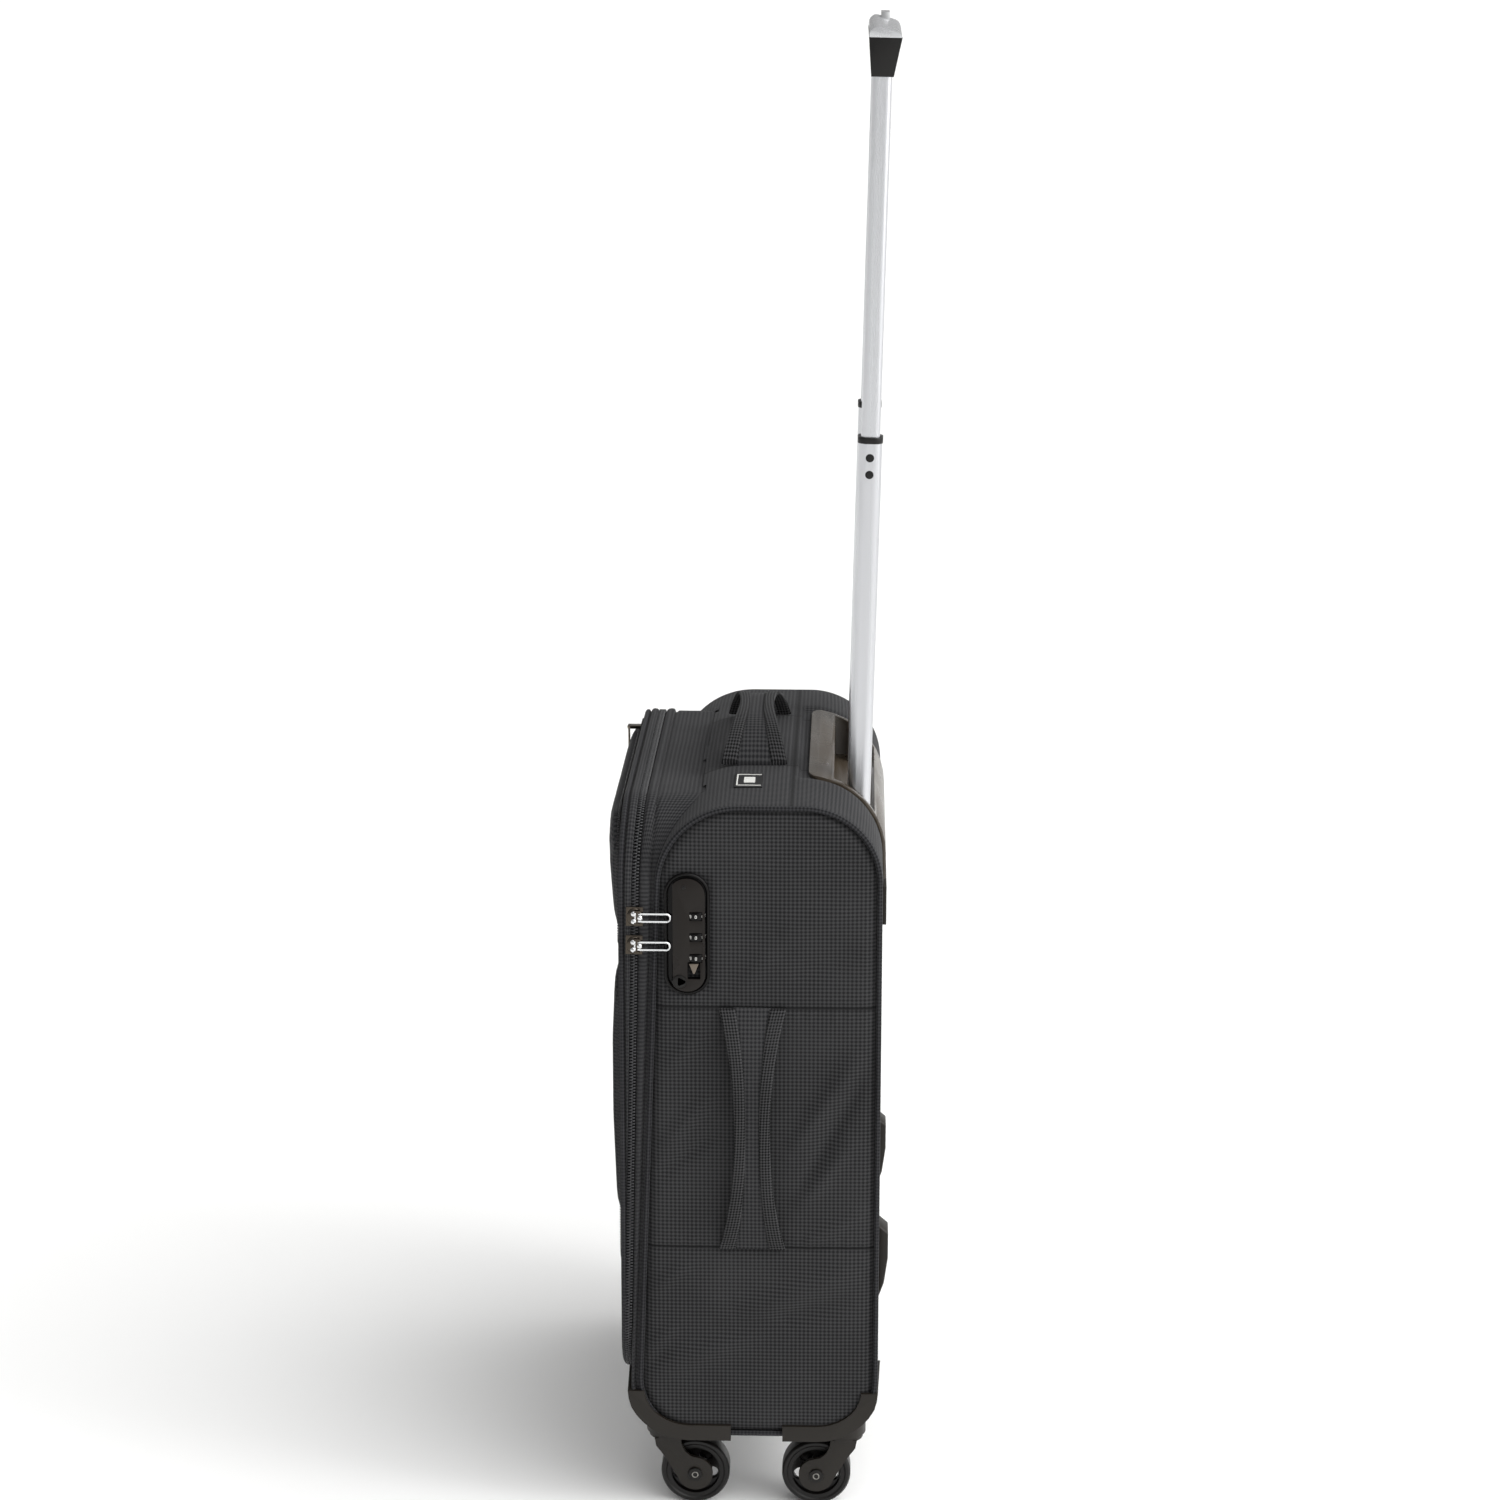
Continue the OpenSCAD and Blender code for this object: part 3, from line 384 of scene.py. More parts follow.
def cut_panel(name, loop, step, place, shape, inside, wall=1.5):
    """A cloth panel cut to a loop: a grid trimmed and drawn in to the outline."""
    edge = walk(loop, 1.0, closed=True)
    tree = kdtree.KDTree(len(edge))
    for i, (a, b, na, nb, s) in enumerate(edge):
        tree.insert((a, b, 0), i)
    tree.balance()
    a0, a1 = min(e[0] for e in edge), max(e[0] for e in edge)
    b0, b1 = min(e[1] for e in edge), max(e[1] for e in edge)
    columns, rows = round((a1 - a0) / step) + 1, round((b1 - b0) / step) + 1
    outside = {}

    def move(i, j):
        a = a0 + (a1 - a0) * i / (columns - 1)
        b = b0 + (b1 - b0) * j / (rows - 1)
        near, k, gap = tree.find((a, b, 0))
        out = (a - edge[k][0]) * edge[k][2] + (b - edge[k][1]) * edge[k][3]
        if out > 0:
            outside[(i, j)] = gap > 1.2 * step
            a, b = edge[k][0], edge[k][1]
        return place(a, b, shape(a, b, 0 if out > 0 else gap)), a / 1000, b / 1000
    obj = grid_piece(name, columns, rows, move)
    mesh = obj.data
    tidy = bmesh.new()
    tidy.from_mesh(mesh)
    bmesh.ops.remove_doubles(tidy, verts=tidy.verts, dist=0.00001)
    bmesh.ops.dissolve_degenerate(tidy, edges=tidy.edges, dist=0.00001)
    tidy.to_mesh(mesh)
    tidy.free()
    face_out(obj, inside)
    shaped(obj, "SOLIDIFY", thickness=wall / 1000, offset=-1)
    return obj


def check_cloth(name, light, dark, period_mm, slant=False, rough=0.78, depth_mm=0.25, seams=()):
    """A woven pattern in the cloth's own UV, in real millimetres: squares, or slanting ribs.
    A seam is an axis and its places in metres: a dark line is painted there, in Object coordinates, partly
    the stitch line and partly painted shade standing for the shadow in the sunk seam."""
    cloth, shader = finish(name, light, rough, Sheen_Weight=0.04, Sheen_Roughness=0.5,
                           Specular_IOR_Level=0.12)
    flat = node(cloth, "UVMap", uv_map="UVMap")
    axes = node(cloth, "SeparateXYZ", {"Vector": flat.outputs["UV"]})
    u, v = axes.outputs["X"], axes.outputs["Y"]
    if slant:
        u, v = (node(cloth, "Math", {0: u, 1: v}, operation=kind).outputs[0] for kind in ("ADD", "SUBTRACT"))
    waves = []
    for along, period in ((u, period_mm), (v, period_mm * 0.94)):
        turn = node(cloth, "Math", {0: along, 1: 2000 * math.pi / period}, operation="MULTIPLY")
        waves.append(node(cloth, "Math", {0: turn.outputs[0]}, operation="SINE").outputs[0])
    both = node(cloth, "Math", {0: waves[0], 1: waves[1]}, operation="MULTIPLY" if slant else "ADD")
    span = (-0.45, 0.45) if slant else (-1.3, 1.3)
    level = node(cloth, "MapRange", {"Value": both.outputs[0], "From Min": span[0], "From Max": span[1]})
    place = node(cloth, "TexCoord")
    haze = node(cloth, "TexNoise", {"Vector": place.outputs["Object"], "Scale": 14, "Detail": 5})
    shade = node(cloth, "MapRange", {"Value": haze.outputs["Fac"], "From Min": 0.3, "From Max": 0.7,
                                     "To Min": -0.12, "To Max": 0.12})
    mixed = node(cloth, "Math", {0: level.outputs["Result"], 1: shade.outputs["Result"]}, operation="ADD")
    ramp = node(cloth, "ValToRGB", {"Fac": mixed.outputs[0]})
    ramp.color_ramp.elements[0].color = linear(dark)
    ramp.color_ramp.elements[1].color = linear(light)
    colour = ramp.outputs["Color"]
    spots = node(cloth, "SeparateXYZ", {"Vector": place.outputs["Object"]})
    # Along each seam the colour is drawn towards near black: partly the stitching, partly painted shade in
    # place of the sunk seam's shadow.
    for axis, at in seams:
        off = node(cloth, "Math", {0: spots.outputs[axis], 1: at}, operation="SUBTRACT")
        gap = node(cloth, "Math", {0: off.outputs[0]}, operation="ABSOLUTE")
        line = node(cloth, "MapRange", {"Value": gap.outputs[0], "From Min": 0.0004, "From Max": 0.0016,
                                        "To Min": 0.75, "To Max": 0.0})
        mixed = node(cloth, "Mix", {"Factor": line.outputs["Result"], "A": colour,
                                    "B": linear("#0c0c0d")}, data_type="RGBA")
        colour = mixed.outputs["Result"]
    wire(cloth, colour, shader.inputs["Base Color"])
    yarn = node(cloth, "TexNoise", {"Vector": place.outputs["Object"], "Scale": 2200, "Detail": 2})
    height = node(cloth, "Math", {0: yarn.outputs["Fac"], 1: 0.35, 2: level.outputs["Result"]},
                  operation="MULTIPLY_ADD")
    bump = node(cloth, "Bump", {"Height": height.outputs[0], "Strength": 0.6, "Distance": depth_mm / 1000})
    wire(cloth, bump.outputs["Normal"], shader.inputs["Normal"])
    return cloth


# Coated ripstop: light and dark yarns in a 3 mm check, matt, with a faint sheen.
ripstop = check_cloth("checked_ripstop_charcoal", "#3c3c3d", "#1a1a1c", 3.02)
# The side panels' ripstop is sewn across twice, and the gusset's along its back and by the handle; along
# each seam a dark line is painted, stitching and painted seam shade together.
side_ripstop_seam_shaded = check_cloth("sewn_side_ripstop_painted_seam_shade", "#3a3a3b", "#181819", 3.02,
                           seams=[("Z", 0.396), ("Z", 0.212)])
top_ripstop_seam_shaded = check_cloth("sewn_gusset_ripstop_painted_seam_shade", "#3c3c3d", "#1a1a1c", 3.02,
                          seams=[("Y", 0.031), ("X", 0.074), ("X", -0.074)])
# The same cloth without its check, on the back and the bottom.
plain_canvas = check_cloth("plain_canvas_charcoal", "#2c2c2e", "#202022", 1.6, depth_mm=0.15)


def fold(y, z, y0, z0, y1, z1, high, wide):
    """A soft ridge, or with a negative height a valley, along a slanting line."""
    a, b, p = Vector((y0, z0)), Vector((y1, z1)), Vector((y, z))
    t = (p - a).dot(b - a) / (b - a).length_squared
    gap = (p - a - (b - a) * min(max(t, 0), 1)).length
    fade = math.sin(math.pi * min(max(t, 0.02), 0.98)) ** 0.6
    return high * fade * math.exp(-(gap / (0.8 * wide)) ** 2)


# Each fold in the side cloth: its two ends as y, z, then its height and its width, in mm.
side_folds = [
    (84, 365, 30, 285, 1.1, 9), (86, 345, 40, 262, -0.9, 7), (80, 300, 34, 240, 0.8, 8),
    (-24, 330, -66, 285, 1.0, 8), (-22, 300, -70, 262, -0.8, 6), (-28, 380, -64, 345, 0.8, 8),
    (84, 196, -10, 160, 1.3, 12), (80, 172, -30, 140, -1.0, 9), (30, 160, -76, 108, 1.1, 11),
    (-40, 200, -80, 172, 0.9, 7), (-50, 150, -82, 128, 0.8, 6), (-56, 132, -80, 112, -0.7, 5),
    (80, 470, 20, 452, 0.7, 12), (84, 440, 30, 418, -0.6, 10), (60, 505, 0, 498, 0.6, 10),
    (-30, 425, -58, 405, 0.5, 8), (20, 440, -10, 405, 0.5, 9), (86, 240, 40, 216, 0.8, 7),
]


seam_heights, fold_depth = (396, 212), 3.6


def side_shape(y, z, gap):
    """How far the side panel stands out: crowned, seamed and folded."""
    crown = 3.2 * (1 - math.exp(-(gap / 3.2) ** 1.5)) + 0.8 * (1 - math.exp(-gap / 14))
    seams = sum(-1.6 * math.exp(-((z - at) / 1.3) ** 2) for at in seam_heights)
    puff = sum(0.7 * math.exp(-((z - at) / 8) ** 2) for at in (387, 221, 203, 405))
    pucker = sum(0.35 * math.exp(-((z - at) / 5) ** 2) * math.sin(y * 0.9 + 2 * math.sin(y * 0.23))
                 for at in (391, 217))
    folds = fold_depth * sum(fold(y, z, *line) for line in side_folds)
    ripple = 1.1 * noise.noise(Vector((y * 0.021, z * 0.017, 3.1)))
    lock = math.exp(-(max(abs(y + 42.5) - 12, 0) / 5) ** 2 - (max(abs(z - 451) - 40, 0) / 5) ** 2)
    calm = 1 - math.exp(-gap / 7)
    return crown + seams * min(1, gap / 3) + (puff + pucker + folds + ripple) * calm - 2.2 * lock - 2.8


for side, name in ((1, "right"), (-1, "left")):
    panel = cut_panel("side_cloth_" + name, side_loop(3.6), 2.0,
                      lambda y, z, out, side=side: (side * (half_w + out), y, z),
                      side_shape, (0, 0, 300))
    made_of(panel, side_ripstop_seam_shaded, "case", 60)
    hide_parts("side_panel_" + name)

# The middle of the round lower front corner.
low_block = (split_y(base_z + 45) + 45, base_z + 45)


def straight(a, b, parts=20):
    return [(a[0] + (b[0] - a[0]) * i / parts, a[1] + (b[1] - a[1]) * i / parts) for i in range(parts + 1)]


top_path = arc(back_y - 56, top_z - 56, 56, 0, 90) + arc(*top_front, 60, 90, 177)
edge_r = 3.0


def wrap_section(step=5.0):
    """Across the case, with a small turn at both edges down to the piping."""
    flat = half_w - edge_r
    turns = [(edge_r * (math.sin(t) - 1), -flat - edge_r * math.cos(t)) for t in
             (math.radians(d) for d in (0, 30, 60))]
    middle = [(0, -flat + 2 * flat * i / round(2 * flat / step)) for i in range(round(2 * flat / step) + 1)]
    points = turns + middle + [(o, -x) for o, x in reversed(turns)]
    lengths = [0.0]
    for p, q in zip(points, points[1:]):
        lengths.append(lengths[-1] + math.dist(p, q))
    return [(o, x, t) for (o, x), t in zip(points, lengths)]


def wrap_shape(y, z, x, s):
    """The top is crowned, with a seam along its back third and one under each handle end."""
    up = min(max((z - 490) / 50, 0), 1)
    crown = 4.0 * up * (1 - (x / half_w) ** 2)
    seams = -0.9 * up * math.exp(-((y - 31) / 1.2) ** 2)
    for end in (-74, 74):
        seams -= 0.8 * up * math.exp(-((x - end) / 1.2) ** 2)
    ripple = 0.5 * noise.noise(Vector((x * 0.014, y * 0.03, z * 0.02)))
    calm = 1 - math.exp(-(half_w - abs(x)) / 12)
    flat = math.exp(-(max(abs(x) - 98, 0) / 6) ** 2) if y > 36 and z > 470 else 0
    return (crown * (1 - flat) + seams + ripple) * calm - 0.4 * flat


def across(y, z, x):
    return (x, y, z)


def trimmed(obj, keep):
    """Deletes the faces whose centre, in mm, isn't kept."""
    work = bmesh.new()
    work.from_mesh(obj.data)
    lost = [f for f in work.faces if not keep(f.calc_center_median() * 1000)]
    bmesh.ops.delete(work, geom=lost, context="FACES")
    work.to_mesh(obj.data)
    work.free()


def on_gusset(c):
    """Clear of the trolley well and, below the frame's flat top, outside its round corners."""
    if c.y > 0:
        return not (abs(c.x) < 93 and 58 < c.y < 100 and c.z > 480)
    rise = 6 * min(max((c.z - base_z - 430) / 48, 0), 1) ** 2
    out, up = abs(c.x) - (half_w - 55), c.z - rise - (base_z + 472 - 55)
    return c.z > 541 or (out > 0 and up > 0 and math.hypot(out, up) > 53)


gusset = sweep("top_gusset_cloth", walk(top_path, 2.6), wrap_section(3.6), across, wrap_shape)
trimmed(gusset, on_gusset)
made_of(gusset, top_ripstop_seam_shaded, "case", 60)
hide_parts("top_gusset")

back_path = straight((back_y, base_z + 45), (back_y, top_z - 56), 40)


def back_shape(y, z, x, s):
    """The back is flat over its board, with a seam frame and slight ripples."""
    frame_seam = -0.8 * (math.exp(-((abs(x) - 140) / 1.2) ** 2) + math.exp(-((z - 470) / 1.2) ** 2))
    return 0.4 * noise.noise(Vector((x * 0.012, z * 0.012, 8))) + frame_seam - 0.3


back = sweep("back_cloth", walk(back_path, 4), wrap_section(), across, back_shape)
made_of(back, plain_canvas, "case", 60)
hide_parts("back_panel")

bottom_path = (arc(*low_block, 45, 192, 270)
               + straight((low_block[0] + 4, base_z), (back_y - 45, base_z), 20)
               + arc(back_y - 45, base_z + 45, 45, 270, 360)[1:])
bottom = sweep("bottom_cloth", walk(bottom_path, 4), wrap_section(), across)
made_of(bottom, plain_canvas, "case", 60)
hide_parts("bottom_panel")

# ---- Piping -----------------------------------------------------------------------
# A welt of the same ripstop rolled over a cord, sewn round each side panel, with a dark
# sunk stitch line on its inner side. Its check is drawn darker than the ripstop's, as
# painted shade on the rolled cord.

# A darker copy of the ripstop, as painted shade on the rolled welt; the lid's welt wears it too.
welt_cloth_painted_shade = check_cloth("welt_ripstop_darkened_painted_shade", "#333335", "#131315", 2.6, rough=0.74)


def ring(radius, parts=10):
    turns = [2 * math.pi * i / parts for i in range(parts + 1)]
    return [(radius * math.cos(t), radius * math.sin(t), radius * t) for t in turns]


welts = []
for side in (1, -1):
    loop = walk(side_loop(2.0), 3.0, closed=True)
    welts.append(sweep("welt", loop, ring(1.9), lambda y, z, x, side=side: (side * (half_w - 0.1) + x, y, z),
                       inside=(side * half_w, 0, 300), wall=0, closed=True))
for welt in welts:
    closed_up(welt)
select_only(welts[0])
welts[1].select_set(True)
bpy.ops.object.join()
welt = welts[0]
welt.name = "side_welts"
made_of(welt, welt_cloth_painted_shade, "case", 60)
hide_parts("piping")

# ---- Front frame and main zip -----------------------------------------------------
# The frame between the side panels and the lid: a padded strip beside the zip, then a
# plain slope up to the gusset. Two black tapes carry the halves of a nylon coil.

lid_top, lid_low, lid_r = 472, 36, 55


def lid_depth(z):
    """Depth of the lid in front of the zip, at a height on the split plane."""
    return 3.6 + (13 - 3.6) * (z - lid_low) / (lid_top - lid_low)


def on_split(x, y, z):
    """A point of the zip plane's own frame, in mm, in the row frame."""
    c, s = math.cos(split_lean), math.sin(split_lean)
    return (x, -88.8 + y * c + z * s, base_z - y * s + z * c)


def lifted(x, y, z):
    """The same, where the soft top edge of the lid and its frame rises and leans back a little."""
    rise = min(max((z - 430) / 42, 0), 1) ** 2
    x, y, z = on_split(x, y, z)
    return (x, y + 2.0 * rise, z + 6.0 * rise)


def round_box(x0, z0, x1, z1, low, high):
    return (arc(x1 - high, z1 - high, high, 0, 90) + arc(x0 + high, z1 - high, high, 90, 180)
            + arc(x0 + low, z0 + low, low, 180, 270) + arc(x1 - low, z0 + low, low, 270, 360))


def lid_loop(inset):
    return round_box(-half_w + inset, lid_low + inset, half_w - inset, lid_top - inset,
                     lid_r - inset, lid_r - inset)


def side_front(z):
    """Where the side outline's front boundary lies at a height in the row frame."""
    if z > top_front[1]:
        return top_front[0] - math.sqrt(max(60 ** 2 - (z - top_front[1]) ** 2, 0))
    if z < low_front[1]:
        return low_front[0] - math.sqrt(max(45 ** 2 - (low_front[1] - z) ** 2, 0))
    return seam_y(z)


frame_heights = range(24, 409, 12)
frame_path = ([(half_w, z) for z in frame_heights]
              + arc(half_w - lid_r, lid_top - lid_r, lid_r, 0, 90)
              + arc(lid_r - half_w, lid_top - lid_r, lid_r, 90, 180)
              + [(-half_w, z) for z in reversed(frame_heights)])
strip_w = 8.5


def frame_place(x, z, t):
    front = lifted(x, 2.6, z)
    back = max(side_front(front[2]) + 1.0, front[1] + 1.5)
    return (x, front[1] + (back - front[1]) * t, front[2])


def frame_shape(x, z, t, s):
    front = lifted(x, 2.6, z)
    deep = max(side_front(front[2]) + 1.0 - front[1], 1.5)
    d = t * deep
    wide = min(strip_w, max(deep - 3.5, 2.0))
    strip = 1.5 * math.sin(math.pi * min(d / wide, 1)) ** 0.6 if d < wide else 0
    groove = -1.7 * math.exp(-((d - wide) / 1.0) ** 2) - 1.0 * math.exp(-(d / 0.9) ** 2)
    ripple = 0.5 * noise.noise(Vector((x * 0.02, d * 0.05, z * 0.02)))
    return strip + groove - 0.5 + (ripple if d > wide else 0)


rows = [i / 28 for i in range(29)]
frame_section = [(0, t, t * 40) for t in rows]
front_frame = sweep("front_frame_cloth", walk(frame_path, 4), frame_section, frame_place, frame_shape)
made_of(front_frame, ripstop, "case", 60)
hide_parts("front_frame")

# Woven polyester tape: black, with a fine rib along it.
zip_weave = check_cloth("woven_zip_tape_black", "#101011", "#070708", 0.9, rough=0.7, depth_mm=0.12)
# Monofilament nylon coil: black and smooth, so its turns catch the light; its colour is set lighter than the
# black tape's, a painted highlight on the turns.
nylon_coil_painted_highlight, shader = finish("nylon_coil_lightened_painted_highlight", "#262628", 0.24)
grain(nylon_coil_painted_highlight, shader, 0.8, 0.02, 0.2)


def repeated(name, unit, frames):
    """Many copies of one small mesh, each at its own place and turn, as one piece."""
    spots = np.array([v.co[:] for v in unit.vertices])
    faces = [tuple(p.vertices) for p in unit.polygons]
    points, loops = [], []
    for i, turn in enumerate(frames):
        m = np.array(turn)
        points.extend(map(tuple, spots @ m[:3, :3].T + m[:3, 3]))
        loops.extend(tuple(v + i * len(spots) for v in face) for face in faces)
    mesh = bpy.data.meshes.new(name)
    mesh.from_pydata(points, [], loops)
    mesh.uv_layers.new(name="UVMap")
    obj = bpy.data.objects.new(name, mesh)
    bpy.context.collection.objects.link(obj)
    return obj


def pill(along, across, high, ease):
    """A small block with eased edges, from a cube."""
    bpy.ops.object.select_all(action="DESELECT")
    bpy.ops.mesh.primitive_cube_add(size=1)
    made = bpy.context.object
    made.scale = (along / 1000, across / 1000, high / 1000)
    bpy.ops.object.transform_apply(location=False, rotation=False, scale=True)
    shaped(made, "BEVEL", width=ease / 1000, segments=1)
    mesh = made.data
    bpy.data.objects.remove(made)
    return mesh


tooth = pill(1.25, 3.2, 1.5, 0.35)


def coil_frames(loop, pitch, place, shift, start=0.0):
    """One frame for each tooth: x along the path, y across it, z out."""
    frames = []
    for a, b, na, nb, s in walk(loop, pitch, closed=True)[:-1]:
        a, b = a - nb * start, b + na * start
        here = Vector(place(a, b, shift)) / 1000
        out = (Vector(place(a + na, b + nb, shift)) / 1000 - here).normalized()
        side = (Vector(place(a, b, shift + 1)) / 1000 - here).normalized()
        along = side.cross(out)
        frames.append(Matrix(((along.x, side.x, out.x, here.x), (along.y, side.y, out.y, here.y),
                              (along.z, side.z, out.z, here.z), (0, 0, 0, 1))))
    return frames


def split_place(x, z, y):
    return lifted(x, y, z)


for body, near, name in (("case", 1, "zip_tape_case"), ("lid", -1, "zip_tape_lid")):
    section = [(-0.9, near * y, abs(y)) for y in (0.35, 1.2, 2.0, 2.8)]
    tape = sweep(name + "_woven", walk(lid_loop(0), 3, closed=True), section, split_place,
                 inside=(0, 0, 300), wall=0.7, closed=True)
    made_of(tape, zip_weave, body, 60)
    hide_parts(name)
    coil = repeated(name + "_coil", tooth, coil_frames(lid_loop(0.3), 2.3, split_place, near * 1.0,
                                                       0 if near > 0 else 1.15))
    made_of(coil, nylon_coil_painted_highlight, body, 60)

# ---- Lid --------------------------------------------------------------------------
# The zip front: a crowned ripstop panel on a shallow gusset, with a welt round its
# front edge and a padded strip beside the zip.


def lid_side_place(x, z, t):
    deep = lid_depth(z)
    return lifted(x, -2.6 - (deep - 2.6) * t, z)


def lid_side_shape(x, z, t, s):
    deep = max(lid_depth(z) - 2.6, 0.8)
    d = t * deep
    wide = max(deep - 3.6, 0.6)
    strip = 1.4 * math.sin(math.pi * min(d / wide, 1)) ** 0.6 if d < wide else 0
    return strip - 1.5 * math.exp(-((d - wide) / 0.9) ** 2) - 0.6


lid_wall = sweep("lid_side_cloth", walk(lid_loop(0), 4, closed=True), [(0, i / 14, i) for i in range(15)],
                 lid_side_place, lid_side_shape, closed=True)
made_of(lid_wall, ripstop, "lid", 60)

lid_welt = sweep("lid_welt", walk(lid_loop(2.0), 3, closed=True), ring(2.2),
                 lambda x, z, y: lifted(x, y - lid_depth(z) + 1.6, z), inside=(0, -90, 300),
                 wall=0, closed=True)
closed_up(lid_welt)
made_of(lid_welt, welt_cloth_painted_shade, "lid", 60)


def lid_shape(x, z, gap):
    crown = 2.2 * (1 - math.exp(-gap / 14))
    ripple = 0.8 * noise.noise(Vector((x * 0.012, z * 0.012, 5))) * (1 - math.exp(-gap / 20))
    return crown + ripple - 0.8


lid_cloth = cut_panel("lid_front_cloth", lid_loop(3.6), 4.0,
                      lambda x, z, out: lifted(x, -lid_depth(z) - out, z), lid_shape, (0, 0, 300))
made_of(lid_cloth, ripstop, "lid", 60)
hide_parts("lid_shell")

# The hinge is a strip of canvas sewn inside the left edge, half to the frame, half to the lid; here it is
# one fixed sheet that moves with neither.
hinge_reach, hinge_x, hinge_low = 7, -half_w + 1.3, lid_low + lid_r + 4
hinge_long = lid_top - lid_low - 2 * lid_r - 8


def hinge_spot(i, j):
    y, z = hinge_reach * (1 - i / 10), hinge_low + hinge_long * j / 50
    return on_split(hinge_x, y, z), y / 1000, z / 1000


hinge_strip = grid_piece("lid_hinge_strip", 21, 51, hinge_spot)
face_out(hinge_strip, (0, 0, 300))
shaped(hinge_strip, "SOLIDIFY", thickness=0.0009, offset=-1)
hinge_strip.data.materials.append(plain_canvas)
select_only(hinge_strip)
bpy.ops.object.shade_smooth_by_angle(angle=math.radians(60))
ends = [[c / 1000 for c in on_split(hinge_x, y, hinge_low + hinge_long / 2)] for y in (3, -3)]
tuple(ends[0])
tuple(ends[1])
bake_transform(hinge_strip)

# ---- Pockets ----------------------------------------------------------------------
# Two flat zipped pockets on the lid, of the same ripstop over thin foam. The upper one
# stands proudest at its top, and the lower one swells at its middle.

def pillow(node_name, name, cap):
    """A padded copy of a CAD pocket: remeshed, blown up by cloth pressure, and capped."""
    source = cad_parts[node_name]
    obj = bpy.data.objects.new(name, source.data.copy())
    bpy.context.collection.objects.link(obj)
    select_only(obj)
    bpy.ops.object.mode_set(mode="EDIT")
    bpy.ops.mesh.select_all(action="SELECT")
    bpy.ops.mesh.remove_doubles(threshold=0.000004)
    bpy.ops.object.mode_set(mode="OBJECT")
    shaped(obj, "REMESH", mode="VOXEL", voxel_size=0.0035)
    rest = [v.co.copy() for v in obj.data.vertices]
    puff = obj.modifiers.new("puff", "CLOTH")
    puff.settings.use_pressure = True
    puff.settings.uniform_pressure_force = 3
    puff.settings.mass = 0.3
    puff.settings.effector_weights.gravity = 0
    for step in range(1, 16):
        bpy.context.scene.frame_set(step)
    blown = obj.evaluated_get(bpy.context.evaluated_depsgraph_get())
    puffed = [v.co.copy() for v in blown.data.vertices]
    obj.modifiers.remove(puff)
    bpy.context.scene.frame_set(1)
    for vertex, a, b in zip(obj.data.vertices, rest, puffed):
        step = b - a
        if step.length > cap / 1000:
            step = step.normalized() * cap / 1000
        vertex.co = a + step
    shaped(obj, "SMOOTH", iterations=6, factor=0.5)
    layer = obj.data.uv_layers.new(name="UVMap") if not obj.data.uv_layers else obj.data.uv_layers[0]
    layer.name = "UVMap"
    for loop in obj.data.loops:
        spot = obj.data.vertices[loop.vertex_index].co
        layer.data[loop.index].uv = (spot.x, spot.z)
    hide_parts(node_name)
    return obj


# How far the cloth may swell, in mm.
pocket_swell = 2.2
for part in ("upper", "lower"):
    pocket = pillow(part + "_pocket", part + "_pocket_cloth", pocket_swell)
    made_of(pocket, ripstop, "lid", 60)

lid_tilt = math.atan((13 - 3.6) / (lid_top - lid_low))


def on_lid(x, y, z):
    """A point of the lid's front face frame, in mm, in the row frame."""
    c, s = math.cos(lid_tilt), math.sin(lid_tilt)
    return on_split(x, y * c - z * s - 3.6, y * s + z * c + lid_low)


pocket_top = lid_top - lid_low - 6
pocket_loops = {"upper": round_box(-151, pocket_top - 95, 151, pocket_top + 1, 12, 38),
                "lower": round_box(-151, 83, 151, pocket_top - 94 - 14 + 1, 30, 38)}
small_tooth = pill(1.0, 1.9, 1.0, 0.25)


def coil_place(x, z, y):
    return on_lid(x, y, z)


for part, loop in pocket_loops.items():
    tape = sweep(part + "_pocket_tape", walk(loop, 3, closed=True),
                 [(-0.4, -0.6, 0), (1.4, -0.9, 1.8), (3.2, -1.0, 3.6), (5.0, -0.7, 5.4)],
                 coil_place, inside=(0, 0, 300), wall=0.6, closed=True)
    face_out(tape, (0, 0, 300))
    made_of(tape, zip_weave, "lid", 60)
    coil = repeated(part + "_pocket_coil", small_tooth, coil_frames(loop, 2.0, coil_place, -1.8))
    made_of(coil, nylon_coil_painted_highlight, "lid", 60)
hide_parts("pocket_zips")

# ---- Trolley handle ---------------------------------------------------------------
# Satin anodised aluminium tubes in two stages, a moulded housing let into the top, and
# an arched silver grip on black sleeves with a chrome release button.

housing = eased("trolley_housing", "moulded_housing", 0)
work = bmesh.new()
work.from_mesh(housing.data)
corners = [e for e in work.edges if all(abs(v.co.x) > 0.0980 and v.co.y < 0.0435 for v in e.verts)
           and e.calc_length() < 0.006]
bmesh.ops.bevel(work, geom=corners, offset=0.014, offset_type="OFFSET", segments=6, profile=0.5,
                affect="EDGES")
work.to_mesh(housing.data)
work.free()
shaped(housing, "BEVEL", width=0.001, segments=2, limit_method="ANGLE", angle_limit=math.radians(32),
       use_clamp_overlap=True)
# The housing is the same plastic with a polished face, so it mirrors more of the room; its colour is also
# set much lighter than the plastic's, a painted reflection of the white room.
polished_abs_painted_reflection, shader = finish("polished_abs_lightened_painted_reflection", "#3d352b", 0.27, Specular_IOR_Level=0.6)
grain(polished_abs_painted_reflection, shader, 1.4, 0.02, 0.2)
made_of(housing, polished_abs_painted_reflection, "case")

